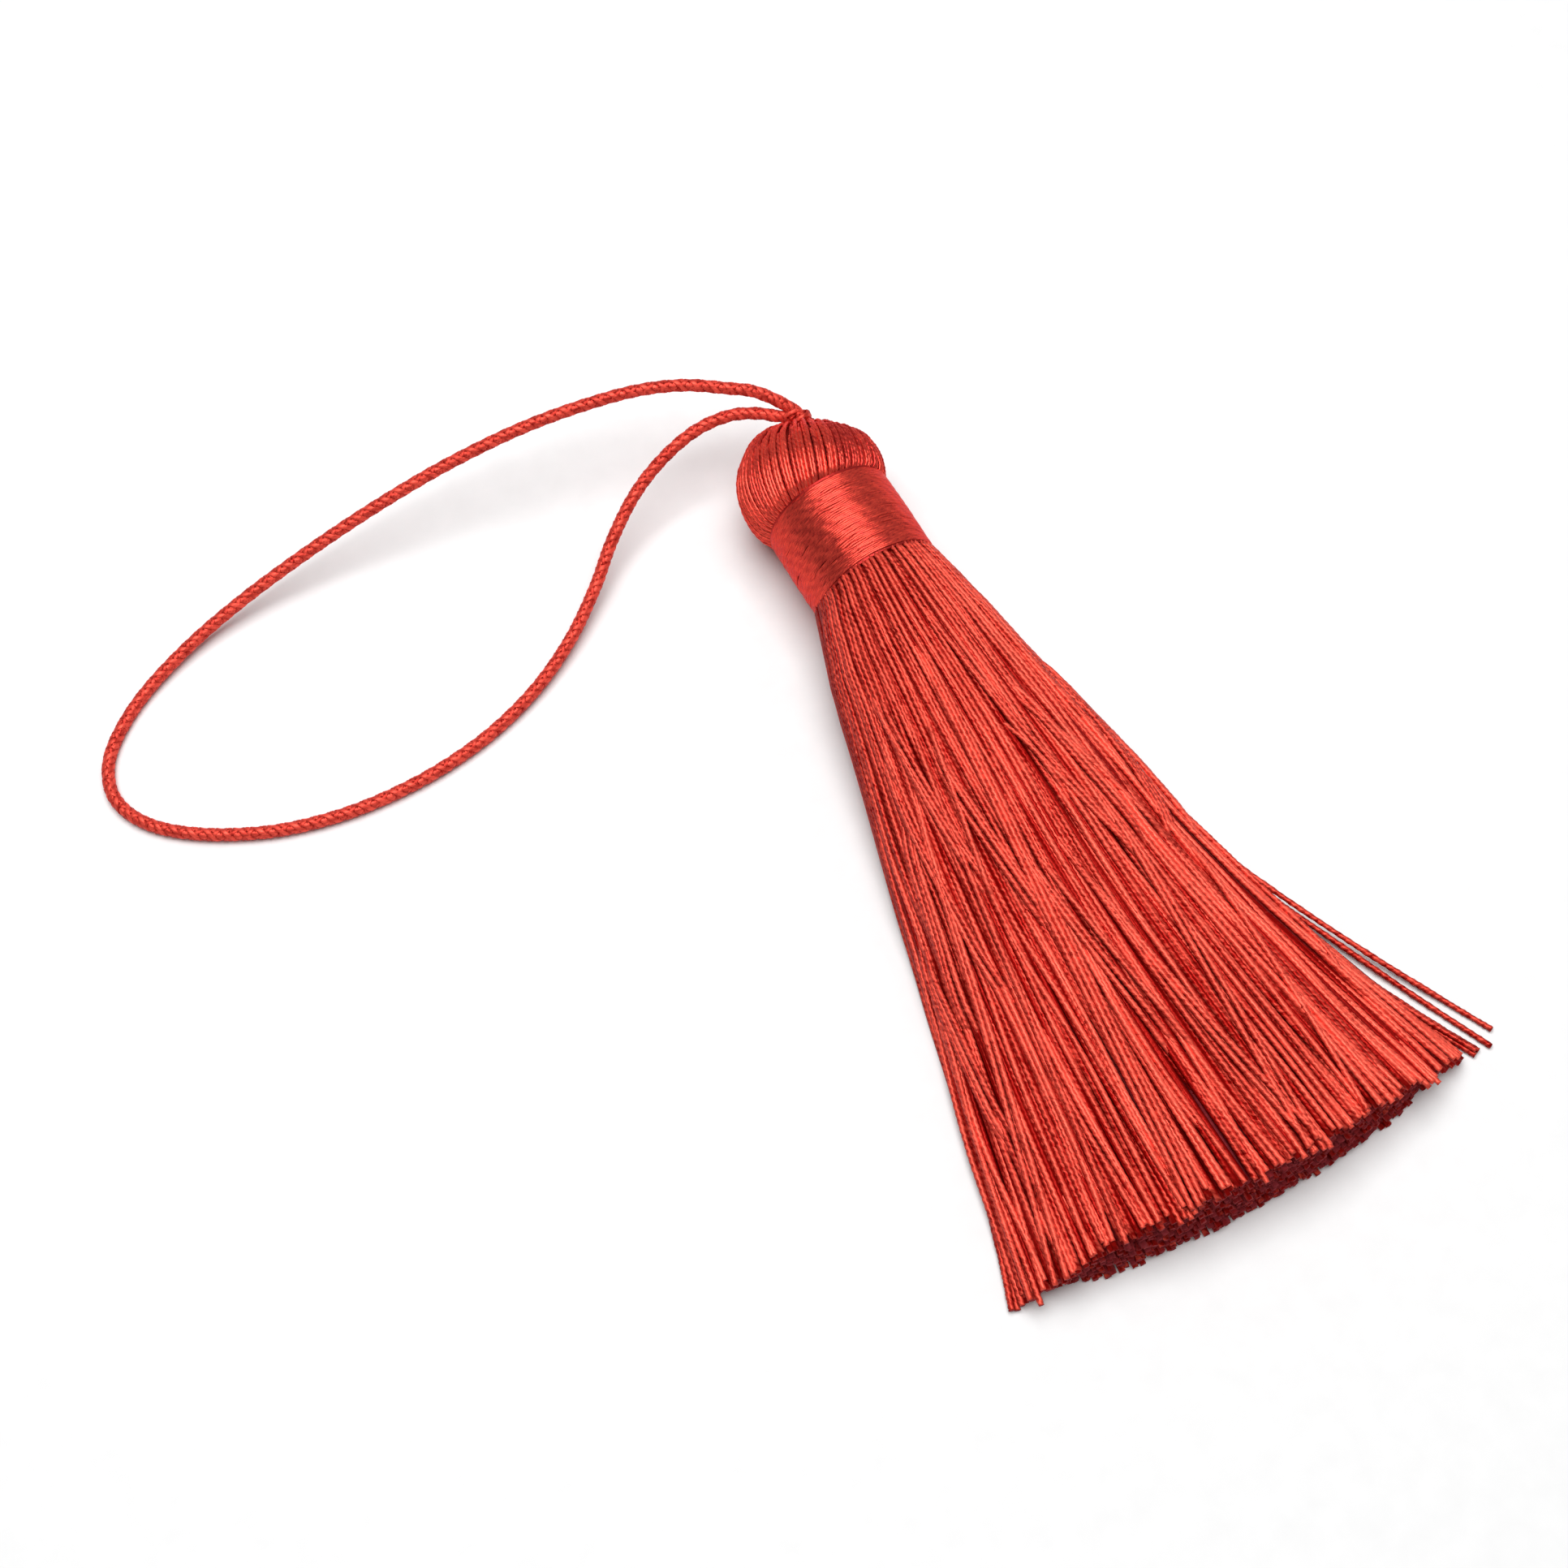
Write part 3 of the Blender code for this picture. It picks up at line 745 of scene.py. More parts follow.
# Shares of a turn's width that it sways and waves up and down the neck
TURN_SWAY = 0.35
TURN_WAVES = 0.36
TURN_OWN = 0.08
# Millimetres in and out
WAVE_HEIGHT = 0.015
OWN_HEIGHT = 0.012
LAID_END_BELOW = 13.3 * MM
LAID_END_DROP = 0.9 * MM
LAID_END_REACH = 0.16
LAID_END_OPENS = 0.07
SLEEVE_SIDES = 72


def waves_in_winding(rng, turns, angle):
    """Small waves that neighbouring turns share: a smooth random sheet rolled round the neck."""
    knots = rng.normal(size=(WAVE_GROUPS, WAVES_ROUND, 1))
    knots = np.concatenate([knots, knots[:, :1]], axis=1)
    rolled = resample(knots, WAVES_ROUND * SHEET_STEPS + 1)[..., 0]
    sheet = resample(rolled.T[..., None], WAVE_GROUPS * SHEET_STEPS)[..., 0].T
    row = turns / BAND_TURNS * (WAVE_GROUPS * SHEET_STEPS - 1.001)
    column = angle / math.tau % 1.0 * WAVES_ROUND * SHEET_STEPS
    down, over = row % 1.0, column % 1.0
    r, c = row.astype(int), column.astype(int)
    near = sheet[r, c] * (1 - over) + sheet[r, c + 1] * over
    far = sheet[r + 1, c] * (1 - over) + sheet[r + 1, c + 1] * over
    return near * (1 - down) + far * down


def binding_groups(rng):
    """The floss as one long tube that winds down the neck."""
    count = BAND_TURNS * BAND_STEPS
    turns = np.linspace(0, BAND_TURNS, count)
    pitch = (BAND_BOTTOM - BAND_TOP) / (BAND_TURNS + 1)
    angle = turns * math.tau + math.pi
    share = turns / BAND_TURNS
    edge = np.minimum(1, 6 * np.minimum(share, 1 - share))
    waves = waves_in_winding(rng, turns, angle)
    own = resample(rng.normal(size=(1, BAND_TURNS * OWN_WAVES_ROUND, 1)), count)[0, :, 0]
    sway = 0.9 * np.sin(angle + 0.7) + 0.4 * np.sin(2 * angle + 5 * share)
    moved = TURN_SWAY * sway + TURN_WAVES * waves + TURN_OWN * own
    below = BAND_TOP + pitch * (turns + 0.5) + pitch * moved * edge
    side = (angle + math.pi) % math.tau - math.pi
    laid_end = LAID_END_BELOW + LAID_END_DROP * ease(-side, 0.6, 1.5)
    beside = (below - laid_end) / (LAID_END_REACH * MM)
    there = ease(-side, 0.5, 0.7) * (1 - ease(-side, 1.9, 2.2))
    opened = LAID_END_OPENS * MM * there * np.sign(beside) * np.exp(-(beside**2))
    below = below + opened
    middle = BAND_SWELL * (1 - (2 * share - 1) ** 2)
    eased = BAND_EDGE * np.exp(-((np.minimum(share, 1 - share) * BAND_TURNS) ** 2))
    lumps = waves * WAVE_HEIGHT * MM + own * OWN_HEIGHT * MM
    radius = BAND_RADIUS + middle - eased + lumps - FLOSS_THICKNESS / 2
    path = [np.sin(angle) * radius, -below, np.cos(angle) * radius + AXIS_HEIGHT]
    path = np.stack(path, axis=-1) + TIP
    outward = np.stack([np.sin(angle), np.zeros(count), np.cos(angle)], axis=-1)
    rings = tube_rings(path[None], outward[None], pitch * FLOSS_OVERLAP, FLOSS_THICKNESS / 2)
    return [(rings, np.array([0.5]))]


def wall_under():
    """A closed sleeve just under the floss, which shows as the dark between its turns."""
    outer, inner = BAND_RADIUS - 0.1 * MM, BAND_RADIUS - 0.45 * MM
    rims = [(outer, BAND_TOP), (outer, BAND_BOTTOM), (inner, BAND_BOTTOM), (inner, BAND_TOP)]
    turn = np.linspace(0, math.tau, SLEEVE_SIDES + 1)[:-1]
    rings = []
    for radius, below in rims:
        level = np.full(SLEEVE_SIDES, -below)
        ring = [np.sin(turn) * radius, level, np.cos(turn) * radius + AXIS_HEIGHT]
        rings.append(np.stack(ring, axis=-1))
    points = np.array(rings).reshape(-1, 3) + TIP
    faces = []
    for k in range(len(rims)):
        first, other = k * SLEEVE_SIDES, (k + 1) % len(rims) * SLEEVE_SIDES
        for i in range(SLEEVE_SIDES):
            j = (i + 1) % SLEEVE_SIDES
            faces.append((first + i, first + j, other + j, other + i))
    mesh = bpy.data.meshes.new("binding_sleeve")
    mesh.from_pydata(points.tolist(), [], faces)
    # With no tone the sleeve takes the floss's deep colour: painted shade between the turns, on top of
    # the real shade that they cast.
    mesh.materials.append(floss_silk)
    sleeve = bpy.data.objects.new("binding_sleeve", mesh)
    bpy.context.scene.collection.objects.link(sleeve)
    return sleeve


binding_rng = np.random.default_rng(3)
binding = tubes_object("binding_floss_turns", binding_groups(binding_rng), floss_silk)
dress(binding, "binding_silk", "neck_binding")
sleeve = wall_under()
dress(sleeve, "binding_silk", "neck_binding")

# %% [markdown]
# ## The shape of the skirt
#
# The skirt spreads from a round neck to a wide low arch that lies on the surface. A few
# cross-sections say how wide, how high and how arched it is at each distance below the tip, and
# a smooth curve runs between them. Threads are then placed by two numbers only: a share of the
# way round the upper or lower arc of the section, and a depth under it.

# %% Skirt sections
HEM = 80.6 * MM
EDGE_SHARE = 0.985
SECTIONS = np.array([
    # below the tip, reach to the left and right, height of the middle, crown above it, belly
    # under it, in millimetres, and the fall of the arch: 0.5 is an ellipse and 1 a parabola
    (16.5, 5.6, 5.6, 6.45, 5.6, 5.6, 0.50),
    (18.2, 6.05, 6.0, 6.45, 6.0, 6.0, 0.50),
    (20.5, 7.0, 6.6, 6.0, 6.6, 5.75, 0.50),
    (25.0, 8.5, 7.75, 5.1, 7.3, 4.9, 0.50),
    (34.0, 10.65, 9.8, 3.1, 8.5, 3.0, 0.51),
    (43.0, 12.95, 12.1, 1.3, 9.2, 1.2, 0.53),
    (52.0, 15.1, 14.0, 0.1, 9.4, 0.1, 0.55),
    (66.0, 18.8, 18.0, 0.0, 8.4, 0.0, 0.58),
    (81.0, 22.5, 22.9, 0.0, 7.2, 0.0, 0.60),
])
SECTIONS[:, :6] *= MM
SECTION_STEPS = 40


def section_at(below):
    """Left and right reach, middle, crown, belly and fall of the arch at distances below the tip."""
    place = np.interp(below, SECTIONS[:, 0], np.arange(len(SECTIONS)))
    fine = resample(SECTIONS[None], SECTION_STEPS * (len(SECTIONS) - 1) + 1)[0]
    place = place * SECTION_STEPS
    return [np.interp(place, np.arange(len(fine)), fine[:, k]) for k in range(1, 7)]


# %% [markdown]
# ## A shell to place threads on
#
# The outline of each section is worked out once and kept as a table: for every distance below the
# tip and every share of the way round, a point and the way inwards from it. A thread's place is
# then read between four neighbours of the table. Shares are counted along the arc's own length,
# so that even shares lie evenly, also where the arch falls steeply at the sides.

# %% The skirt's shell
SHELL_BELOW = np.linspace(SECTIONS[0, 0], SECTIONS[-1, 0], 80)
SHELL_SHARES = np.linspace(0, 1, 141)
ARC_POINTS = 241
BEYOND_EDGE = 48 * MM


def shell_table(upper):
    """Across, height and the way inwards round one arc of every section: (rows, shares, 4)."""
    left, right, middle, above, under, fall = (v[:, None] for v in section_at(SHELL_BELOW))
    across = np.sin(np.linspace(-math.pi / 2, math.pi / 2, ARC_POINTS))[None]
    arch = (1 - (EDGE_SHARE * across) ** 2) ** fall
    x = np.where(across < 0, left, right) * across
    z = middle + arch * (above if upper else -under)
    lengths = distances(np.stack([x, z], axis=-1))
    table = []
    for row in range(len(SHELL_BELOW)):
        wanted = SHELL_SHARES * lengths[row, -1]
        places = np.stack([np.interp(wanted, lengths[row], line[row]) for line in (x, z)], axis=-1)
        way = unit(np.gradient(places, axis=0))
        inward = np.stack([way[:, 1], -way[:, 0]], axis=-1) * (1 if upper else -1)
        table.append(np.concatenate([places, inward], axis=-1))
    return np.array(table), lengths[:, -1]


upper_shell, upper_arc = shell_table(True)
lower_shell, lower_arc = shell_table(False)
print(f"upper arc {upper_arc[0] / MM:.1f} mm at the neck, {upper_arc[-1] / MM:.1f} mm at the hem")


def on_shell(shell, share, below, depth):
    """Points at a share of the arc, a distance below the tip and a depth under the surface."""
    row = np.interp(below, SHELL_BELOW, np.arange(len(SHELL_BELOW)))
    column = np.clip(share, 0, 1) * (len(SHELL_SHARES) - 1)
    row0 = np.minimum(row.astype(int), len(SHELL_BELOW) - 2)
    column0 = np.minimum(column.astype(int), len(SHELL_SHARES) - 2)
    down, over = (row - row0)[..., None], (column - column0)[..., None]
    upper = shell[row0, column0] * (1 - over) + shell[row0, column0 + 1] * over
    lower = shell[row0 + 1, column0] * (1 - over) + shell[row0 + 1, column0 + 1] * over
    x, z, in_x, in_z = np.moveaxis(upper * (1 - down) + lower * down, -1, 0)
    beyond = (share - np.clip(share, 0, 1)) * BEYOND_EDGE
    return np.stack([x + beyond + in_x * depth, -below, z + in_z * depth], axis=-1) + TIP


# %% [markdown]
# ## How the threads part and flow
#
# No thread runs quite true. Groups of them draw together into locks, and between two locks a dark
# parting opens for a while and closes again. A parting is a slanting line on the skirt: threads
# to its left move left, threads to its right move right, and those nearest to it sink. Forty or
# so of them at random, of many lengths, give the skirt its grain.

# %% Partings
PARTINGS = 46
HEM_LOWEST = 0.12
THREAD_WIDTH_NECK = 0.46 * MM
THREAD_WIDTH_HEM = 0.57 * MM
# A parting opens by a share of the arc, and sinks by millimetres
PARTING_OPENS = 0.0068
PARTING_SINKS = 0.30
# Millimetres that the hem's corners stand back, and that its top and its corners are staggered
HEM_BOW_LEFT = 2.1
HEM_BOW_RIGHT = 2.9
TOP_REACHES = 0.95
CORNER_REACHES = 0.9


def make_partings(rng):
    """Rows of (share, drift, middle, half length, half width, strength) of each parting."""
    return np.stack([
        rng.permutation(np.linspace(0.02, 0.98, PARTINGS)),
        rng.normal(0, 0.00045, PARTINGS) / MM,
        rng.uniform(24, 80, PARTINGS) * MM,
        rng.uniform(7, 18, PARTINGS) * MM,
        rng.uniform(0.012, 0.024, PARTINGS),
        rng.uniform(0.3, 1.0, PARTINGS),
    ], axis=-1)


def part(partings, share, below):
    """How far the partings move a thread across, as a share, and how far it sinks."""
    moved, sunk = np.zeros_like(share), np.zeros_like(share)
    for middle, drift, at, half, wide, strength in partings:
        window = np.exp(-(((below - at) / half) ** 2))
        off = (share - middle - drift * (below - at)) / wide
        moved += strength * window * off * np.exp(0.5 - off**2 / 2) * PARTING_OPENS
        sunk += strength * window * np.exp(-((off / 0.8) ** 2)) * PARTING_SINKS * MM
    return moved, sunk


def thread_width(below):
    """A thread is pressed thin at the neck and springs open below it."""
    wider = THREAD_WIDTH_HEM - THREAD_WIDTH_NECK
    return THREAD_WIDTH_NECK + wider * ease(below, 18 * MM, 60 * MM)


def hem_end(across, level):
    """Where a thread is cut: the hem bows at both corners, and its lower threads reach further.

    `across` runs from -1 at the left to 1 at the right, and `level` from 0 below to 1 on top.
    """
    off = across - HEM_LOWEST
    corner = ease(np.abs(across), 0.55, 0.95)
    stagger = TOP_REACHES * level * (1 - corner) + CORNER_REACHES * (1 - level) * corner
    return HEM - (np.where(off < 0, HEM_BOW_LEFT, HEM_BOW_RIGHT) * off**2 + stagger) * MM


# %% [markdown]
# ## The threads on the outside of the skirt
#
# At the neck there is room for some thirty-five threads side by side, and at the hem for more than
# eighty. So each thread has a rank. The lowest ranks lie on the surface all the way, and each of
# the others stays one thread deeper until the arc is long enough to let it up between its
# neighbours. One to four neighbours make a lock that wanders as one, and every other lock lies a
# little lower, so that locks pass over and under each other. Lower threads also get less light
# between their neighbours, which a lower tone stands for.

# %% Surface threads
SURFACE_THREADS = 99
STEPS = 30
RINGS = 280
START_BELOW = 16.8 * MM
ONE_DEEPER = 0.48 * MM
LOWEST_CENTRE = 0.2 * MM


def ranks(rng, count):
    """A rank for each thread, spread so that any lowest few are evenly spaced."""
    golden = (math.sqrt(5) - 1) / 2
    order = np.argsort((np.arange(count) * golden) % 1.0)
    rank = np.empty(count)
    rank[order] = np.arange(count)
    return rank + rng.uniform(-3, 3, count)


# %% Locks and surface paths
LOCK_SIZES = (1, 5)
LOWER_LOCK = 0.14 * MM
# Millimetres that locks and single threads end short of the hem's line
LOCK_REACH = 0.36
THREAD_REACH = 0.5
# Sideways wander in shares of the arc, and ripple up and down in millimetres
OWN_WANDER = 0.0066
LOCK_WANDER = 0.0060
OWN_RIPPLE = 0.10
LOCK_RIPPLE = 0.06
CALM_EDGE = 0.6
# Tones, where 0 is deep and 1 is lit, and what darkens or lightens them: painted shade on deep
# and low threads, and painted light on the right side with painted shade on the left
SURFACE_TONES = (0.32, 0.88)
DEEP_PAINTED_SHADE = 0.4
LOW_PAINTED_SHADE = 0.7
TONE_WANDER = 0.10
LIGHTER_HEM = 0.32
DARKER_NECK = 0.14
RIGHT_PAINTED_LIGHT = 0.20
LIGHTER_ALL = 0.03


def lock_wander(rng, locks, swings):
    """One smooth random line for each lock, given to every thread in it."""
    return wander(rng, locks[-1] + 1, STEPS, swings)[locks]


def surface_paths(rng, partings):
    """Centre lines and tones of the outermost threads."""
    count = SURFACE_THREADS
    share0 = (np.arange(count) + 0.5 + rng.uniform(-0.22, 0.22, count)) / count
    locks = np.repeat(np.arange(count), rng.integers(*LOCK_SIZES, count))[:count]
    lower = (locks % 2)[:, None]
    reach = rng.normal(size=locks[-1] + 1)[locks] * LOCK_REACH * MM
    reach = reach + rng.uniform(0, THREAD_REACH, count) * MM
    end = hem_end(2 * share0 - 1, 1.0) - reach
    below = START_BELOW + (end[:, None] - START_BELOW) * np.linspace(0, 1, STEPS)[None]
    spread = ease(below, 22 * MM, 42 * MM)
    own = wander(rng, count, STEPS, 5) * OWN_WANDER
    together = lock_wander(rng, locks, 5) * LOCK_WANDER
    share = share0[:, None] + (own + together) * spread
    moved, sunk = part(partings, share, below)
    room = np.interp(below, SHELL_BELOW, upper_arc) / thread_width(below)
    buried = 1 - ease(room - ranks(rng, count)[:, None], -6.0, 8.0)
    ripple = wander(rng, count, STEPS, 9) * OWN_RIPPLE
    ripple = (ripple + lock_wander(rng, locks, 7) * LOCK_RIPPLE) * MM
    calm = 1 - CALM_EDGE * ease(np.abs(2 * share0 - 1), 0.8, 0.97)
    drop = (lower * LOWER_LOCK + sunk + ripple) * spread * calm[:, None]
    depth = thread_width(below) / 2 + buried * ONE_DEEPER + drop
    points = on_shell(upper_shell, share + moved * spread, below, depth)
    points[..., 2] = np.maximum(points[..., 2], LOWEST_CENTRE)
    # Deep and low threads are darker, painted shade; the right side is lighter and the left darker,
    # painted light and shade.
    tones = rng.uniform(*SURFACE_TONES, (count, 1)) - buried * DEEP_PAINTED_SHADE
    tones = tones - drop / MM * LOW_PAINTED_SHADE + wander(rng, count, STEPS, 12) * TONE_WANDER
    tones = tones + LIGHTER_HEM * ease(below, 18 * MM, 56 * MM) - DARKER_NECK
    tones = tones + RIGHT_PAINTED_LIGHT * (2 * share0[:, None] - 1) + LIGHTER_ALL
    return resample(points, RINGS), resample(tones[..., None], RINGS)[..., 0]


def width_along(paths):
    """The thread's width at every point of the paths."""
    return thread_width(TIP[1] - paths[..., 1])


# %% The surface threads, in three pieces
UP = np.array((0.0, 0.0, 1.0))
skirt_rng = np.random.default_rng(21)
partings = make_partings(skirt_rng)
surface, surface_tones = surface_paths(skirt_rng, partings)
thirds = np.array_split(np.arange(SURFACE_THREADS), 3)
for label, chosen in zip(("left", "middle", "right"), thirds):
    paths = surface[chosen]
    rings = ply_rings(skirt_rng, paths, UP, width_along(paths))
    piece = tubes_object(f"skirt_threads_{label}", [(rings, surface_tones[chosen])], thread_silk)
    dress(piece, "skirt_silk", "thread_bundle")

# %% [markdown]
# ## Wisps that cross the others
#
# Here and there one to three threads come up together and run slantwise over their neighbours
# before they sink in again, and every third group of them runs on to the hem. They are what the
# eye reads as hair-like, so they get the full two-ply shape too. No two of a group slant alike,
# or they would look like a flat ribbon.

# %% Wisps
WISPS = 24
# Millimetres below the tip, and long
WISP_STARTS = (20, 50)
WISP_LENGTHS = (20, 30)
# Shares of the arc
WISP_SLANTS = (0.03, 0.13)
WISP_STRAY = 0.014
WISP_SPACING = 0.011
WISP_OPENING = 0.004
# Millimetres deep at both ends, and proud in between
WISP_SINKS = 1.0
WISP_PROUD = 0.02
WISP_RINGS = 150
WISP_TONES = (0.4, 0.85)


def wisp_paths(rng):
    """Centre lines of the crossing threads, each as long as it can be seen."""
    paths = []
    for k in range(WISPS):
        start = rng.uniform(*WISP_STARTS) * MM
        to_hem = k % 3 == 0
        share = (k + rng.uniform(0.2, 0.8)) / WISPS
        slant = rng.choice((-1, 1)) * rng.uniform(*WISP_SLANTS)
        finish = hem_end(2 * share - 1, 1.0) if to_hem else start + rng.uniform(*WISP_LENGTHS) * MM
        for thread in range(rng.integers(1, 4)):
            down = np.linspace(0, 1, 16)
            last = finish - rng.uniform(0, 0.5) * MM if to_hem else min(finish, HEM - 4 * MM)
            below = start + rng.uniform(-1.5, 1.5) * MM * (1 - down) + (last - start) * down
            spot = share + thread * WISP_SPACING
            spot = spot + (slant + rng.normal(0, WISP_STRAY)) * (down - 0.5)
            spot = spot + WISP_OPENING * down * thread
            rise = ease(down, 0.0, 0.25) * (1.0 if to_hem else 1 - ease(down, 0.75, 1.0))
            depth = (1 - rise) * WISP_SINKS * MM - WISP_PROUD * MM
            paths.append(on_shell(upper_shell, np.clip(spot, 0.03, 0.97), below, depth))
    return resample(np.array(paths), WISP_RINGS)


wisps = wisp_paths(skirt_rng)
rings = ply_rings(skirt_rng, wisps, UP, width_along(wisps))
wisp_tones = skirt_rng.uniform(*WISP_TONES, len(wisps))
piece = tubes_object("skirt_wisps", [(rings, wisp_tones)], thread_silk)
dress(piece, "skirt_silk", "thread_bundle")

# %% [markdown]
# ## The threads inside
#
# Under the outermost threads lie a second layer, a lower layer that rests on the surface, and
# all the rest, which show only as cut ends at the hem and, seen from low down, at the skirt's
# sides. They could be a solid block with a drawn end, but the cut face is rough and deep, so they
# are threads. They have fewer rings, because little of their length is seen, but every one of
# them is a whole thread from neck to hem.

# %% Inner threads
UNDER_THREADS = 100
BELLY_THREADS = 80
UNDER_DEPTH = 0.34 * MM
UNDER_LEVEL = 0.95
UNDER_RINGS = 44
BELLY_RINGS = 30
LAYER_STEPS = 14
INNER_COLUMNS = 84
INNER_PITCH = 0.47 * MM
INNER_STEPS = 9
# Millimetres of height that the inner threads fill at the hem, before a margin is taken off
INNER_HEIGHT = 7.3
INNER_MARGIN = 1.5
ABOVE_BELLY = 0.55 * MM
UNDER_CROWN = 0.95 * MM
# The under layer and the lower layer get low tones: painted shade for threads under others.
UNDER_TONES = (0.0, 0.45)
BELLY_TONES = (0.0, 0.5)
SIDE_TONES = (0.1, 0.5)
SIDE_FROM = 0.80
SIDE_COLUMNS = [
    # share of the half width, and how many threads stand one above another there
    (-1.01, 4),
    (-0.985, 5),
    (0.985, 5),
    (1.01, 4),
]


def plain_rings(rng, paths, width):
    """Six-sided tubes with a ragged cut, pressed a little flat."""
    phase = rng.uniform(0, math.tau, len(paths))
    rings = tube_rings(paths, UP, width / 2, width / 2 * 0.85, phase=phase)
    rings[:, -1, :, 1] += rng.uniform(-0.06, 0.06, rings[:, -1, :, 1].shape) * MM
    return rings


def layer_paths(rng, shell, count, depth, level, rings):
    """Centre lines of one evenly spaced layer under the upper or lower shell."""
    share0 = (np.arange(count) + rng.uniform(0.1, 0.9, count)) / count
    end = hem_end(2 * share0 - 1, level) - np.abs(rng.normal(0, 0.35, count)) * MM
    down = np.linspace(0, 1, LAYER_STEPS)[None]
    below = START_BELOW + (end[:, None] - START_BELOW) * down
    spread = ease(below, 20 * MM, 45 * MM)
    share = share0[:, None] + wander(rng, count, LAYER_STEPS, 6) * 0.003 * spread
    points = on_shell(shell, share, below, depth + thread_width(below) / 2)
    points[..., 2] = np.maximum(points[..., 2], LOWEST_CENTRE)
    return resample(points, rings)


def inner_paths(rng):
    """Centre lines of all the threads in the middle of the skirt."""
    columns = (np.arange(INNER_COLUMNS) + 0.5) / INNER_COLUMNS * 2 - 1
    starts, levels = [], []
    for across in columns:
        arch = (1 - (EDGE_SHARE * across) ** 2) ** 0.6
        height = INNER_HEIGHT * MM * arch - INNER_MARGIN * MM
        layers = int(height / INNER_PITCH)
        starts += [across] * layers
        levels += [(k + 0.5) / layers for k in range(layers)]
    for across, layers in SIDE_COLUMNS:
        starts += [across] * layers
        levels += np.linspace(0, 1, layers).tolist()
    across = np.array(starts) + rng.uniform(-0.008, 0.008, len(starts))
    level = np.array(levels) + rng.uniform(-0.02, 0.02, len(starts))
    end = hem_end(across, level) - np.abs(rng.normal(0, 0.3, len(across))) * MM
    below = START_BELOW + (end[:, None] - START_BELOW) * np.linspace(0, 1, INNER_STEPS)[None]
    left, right, middle, above, under, fall = section_at(below)
    side = np.clip(across[:, None] * 0.97, -0.98, 0.98)
    arch = (1 - (EDGE_SHARE * side) ** 2) ** fall
    x = np.where(side < 0, left, right) * side
    low = middle - under * arch + ABOVE_BELLY
    high = middle + above * arch - UNDER_CROWN
    z = low + (high - low) * level[:, None]
    points = np.stack([x, -below, z], axis=-1) + TIP
    points[:, -1] += rng.normal(0, 0.10, (len(across), 3)) * MM
    return points


# %% The inner threads, in two pieces
under = layer_paths(skirt_rng, upper_shell, UNDER_THREADS, UNDER_DEPTH, UNDER_LEVEL, UNDER_RINGS)
belly = layer_paths(skirt_rng, lower_shell, BELLY_THREADS, 0.0, 0.0, BELLY_RINGS)
inner = inner_paths(skirt_rng)
under_rings, belly_rings, inner_rings = (
    plain_rings(skirt_rng, p, width_along(p)) for p in (under, belly, inner)
)
under_tones = skirt_rng.uniform(*UNDER_TONES, UNDER_THREADS)
belly_tones = skirt_rng.uniform(*BELLY_TONES, BELLY_THREADS)
# A tone below zero gives maroon, painted shade for a cut end in the dark, and most of them get it
inner_tones = skirt_rng.uniform(0, 1, len(inner)) ** 2 * 1.3 - 1
half_way_across = np.abs(inner[:, INNER_STEPS // 2, 0] - TIP[0])
at_side = half_way_across > SIDE_FROM * half_way_across.max()
inner_tones[at_side] = skirt_rng.uniform(*SIDE_TONES, at_side.sum())
groups = [(under_rings, under_tones), (belly_rings, belly_tones), (inner_rings, inner_tones)]
piece = tubes_object("skirt_under_threads", groups[:2], thread_silk)
dress(piece, "skirt_silk", "thread_bundle")
piece = tubes_object("skirt_inner_threads", groups[2:], thread_silk)
dress(piece, "skirt_silk", "thread_bundle")

# %% [markdown]
# ## Threads that have come away
#
# Two single threads leave the skirt's right edge and lie free on the surface. Beside them a lock
# of three leans out from the right corner, and a lock of two stands a little apart at the left
# one. All are short lists of places, given one by one, for they are single features that a rule
# would not give.

# %% Loose threads
LOOSE_RINGS = 120
LOOSE_TONES = (0.15, 0.45)
LOOSE_THREADS = [
    # across, below and height in millimetres, from inside the skirt's edge to the free end
    [(13.0, 52.0, 2.0), (15.3, 58.3, 1.5), (17.6, 63.3, 0.95), (21.0, 71.0, 0.4), (24.35, 78.5, 0.25)],
    [(14.0, 56.0, 1.2), (17.0, 64.0, 0.8), (18.9, 69.1, 0.4), (21.1, 74.0, 0.28), (23.2, 78.3, 0.28)],
    [(14.0, 56.0, 0.8), (16.6, 64.0, 0.5), (18.4, 69.1, 0.3), (20.6, 74.0, 0.28), (22.7, 78.5, 0.28)],
    [(14.0, 56.0, 1.6), (16.8, 64.0, 1.1), (18.6, 69.1, 0.8), (20.8, 74.0, 0.6), (22.9, 78.2, 0.55)],
    [(12.4, 50.0, 2.6), (15.6, 57.8, 1.9), (19.6, 66.2, 1.0), (22.9, 72.6, 0.4), (25.28, 77.3, 0.25)],
    [(-14.5, 52.0, 0.6), (-17.6, 64.0, 0.4), (-20.2, 73.0, 0.28), (-21.85, 78.0, 0.28)],
    [(-14.7, 52.0, 1.0), (-17.9, 64.0, 0.7), (-20.6, 73.0, 0.5), (-22.3, 77.8, 0.4)],
]


def loose_path(places):
    """One smooth centre line through a loose thread's places."""
    points = [(x * MM, -below * MM, z * MM) for x, below, z in places]
    return resample(np.array([points]), LOOSE_RINGS) + TIP


loose = np.concatenate([loose_path(places) for places in LOOSE_THREADS])
rings = ply_rings(skirt_rng, loose, UP, width_along(loose))
loose_tones = skirt_rng.uniform(*LOOSE_TONES, len(loose))
piece = tubes_object("loose_threads", [(rings, loose_tones)], thread_silk)
dress(piece, "skirt_silk", "thread_bundle")

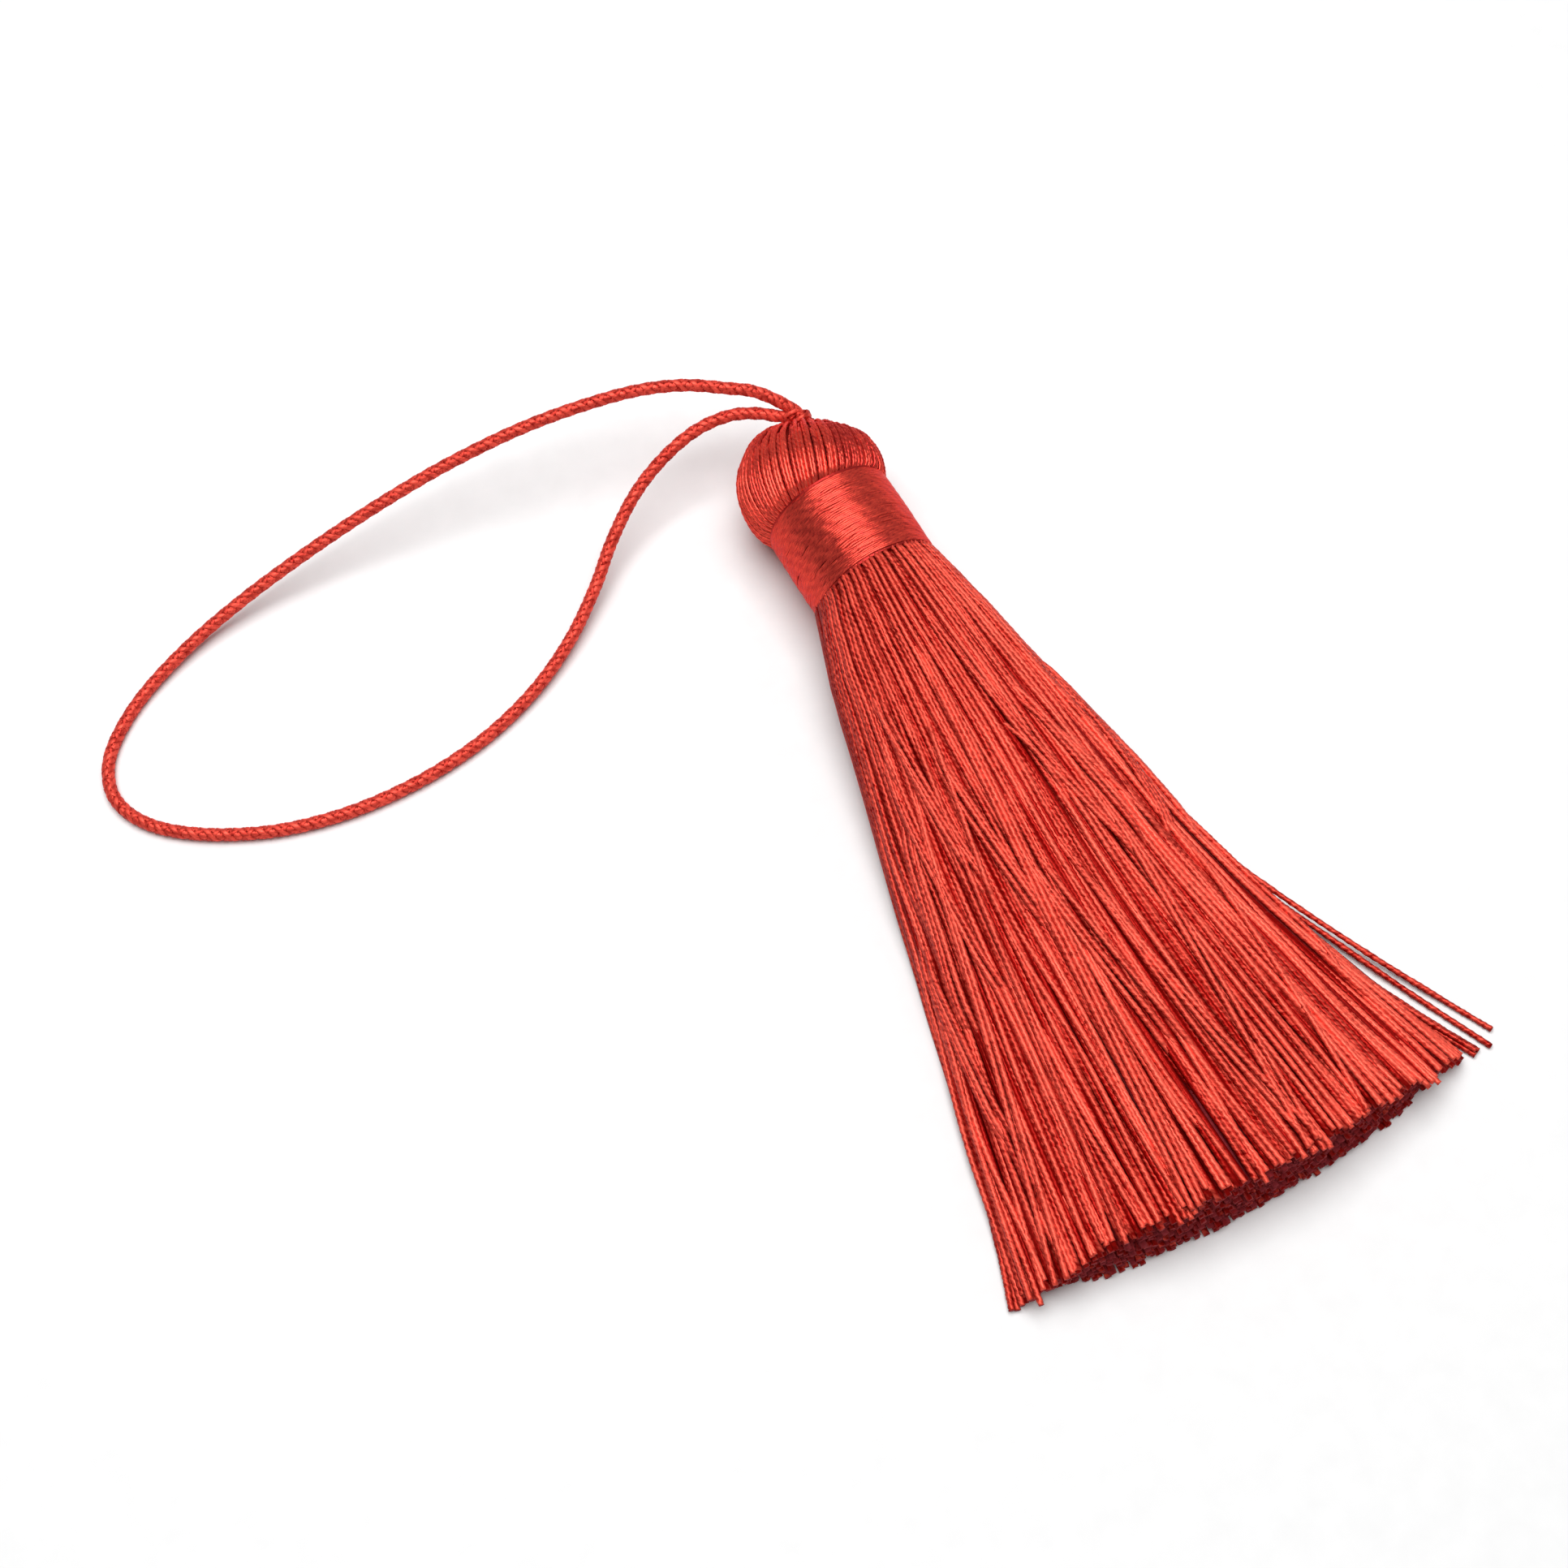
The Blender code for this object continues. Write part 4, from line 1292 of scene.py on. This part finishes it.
# %% [markdown]
# ## Surface and light
#
# The tassel lies on white under one broad light overhead. A large square lamp gives the bright
# stripe on the binding and the soft shadows, and a weaker light comes from all round. Even light
# from everywhere would make silk look like plastic, so one side of the room is kept dark: silk
# mirrors it as the dark stripe beside the bright one.

# %% Floor
FLOOR_SIDE = 3.0
FLOOR_TINTS = (0.86, 0.86, 0.86, 1), (0.90, 0.90, 0.90, 1)
FLOOR_GRAIN = 400.0


def add_floor():
    """A plain pale surface for the tassel to lie on."""
    half = FLOOR_SIDE / 2
    mesh = bpy.data.meshes.new("floor")
    corners = [(-half, -half, 0), (half, -half, 0), (half, half, 0), (-half, half, 0)]
    mesh.from_pydata(corners, [], [(0, 1, 2, 3)])
    material = bpy.data.materials.new("pale_floor")
    material.use_nodes = True
    tree = material.node_tree
    graph = Shade(tree)
    shader = tree.nodes["Principled BSDF"]
    place = graph.node("ShaderNodeTexCoord", {}, {}, 3)
    speckle = {"Vector": place, "Scale": FLOOR_GRAIN, "Detail": 3.0}
    grain = graph.node("ShaderNodeTexNoise", {}, speckle)
    tint = grain.between(0.2, 0.8).blend(*FLOOR_TINTS)
    tree.links.new(tint.socket, shader.inputs["Base Color"])
    shader.inputs["Roughness"].default_value = 0.8
    shader.inputs["Specular IOR Level"].default_value = 0.2
    mesh.materials.append(material)
    floor = bpy.data.objects.new("floor", mesh)
    bpy.context.scene.collection.objects.link(floor)
    print(f"floor {FLOOR_SIDE} m square")


add_floor()

# %% Lamps
WHITE = (1.0, 1.0, 1.0, 1.0)
KEY_PLACE = (-0.015, 0.065, 0.50)
KEY_POWER = 3.08
KEY_SIZE = 0.42
ROOM_LIGHT = 0.25
ROOM_DARK = 0.05
DARK_SIDE = (-0.80, 0.45, 0.40)


def add_lamp(name, place, aim, size, power):
    """A square area lamp that faces its aim."""
    light = bpy.data.lights.new(name, "AREA")
    light.shape = "SQUARE"
    light.size = size
    light.energy = power
    lamp = bpy.data.objects.new(name, light)
    lamp.location = place
    way = Vector(aim) - Vector(place)
    lamp.rotation_euler = way.to_track_quat("-Z", "Y").to_euler()
    bpy.context.scene.collection.objects.link(lamp)


def add_room():
    """Light from all round, but for one dark side that the silk can mirror."""
    world = bpy.data.worlds.new("studio")
    world.use_nodes = True
    graph = Shade(world.node_tree)
    way = graph.node("ShaderNodeTexCoord", {}, {}, 0)
    aim = tuple(Vector(DARK_SIDE).normalized())
    facing = graph.node("ShaderNodeVectorMath", {"operation": "DOT_PRODUCT"}, {0: way, 1: aim}, 1)
    level = facing.between(0.45, 0.85) * (ROOM_DARK - ROOM_LIGHT) + ROOM_LIGHT
    background = world.node_tree.nodes["Background"]
    background.inputs["Color"].default_value = WHITE
    world.node_tree.links.new(level.socket, background.inputs["Strength"])
    bpy.context.scene.world = world


add_lamp("key", KEY_PLACE, (0, 0, 0), KEY_SIZE, KEY_POWER)
add_room()
bpy.context.scene.view_settings.view_transform = "Standard"
print(f"key lamp {KEY_SIZE} m wide at {KEY_PLACE} m, {KEY_POWER} W")
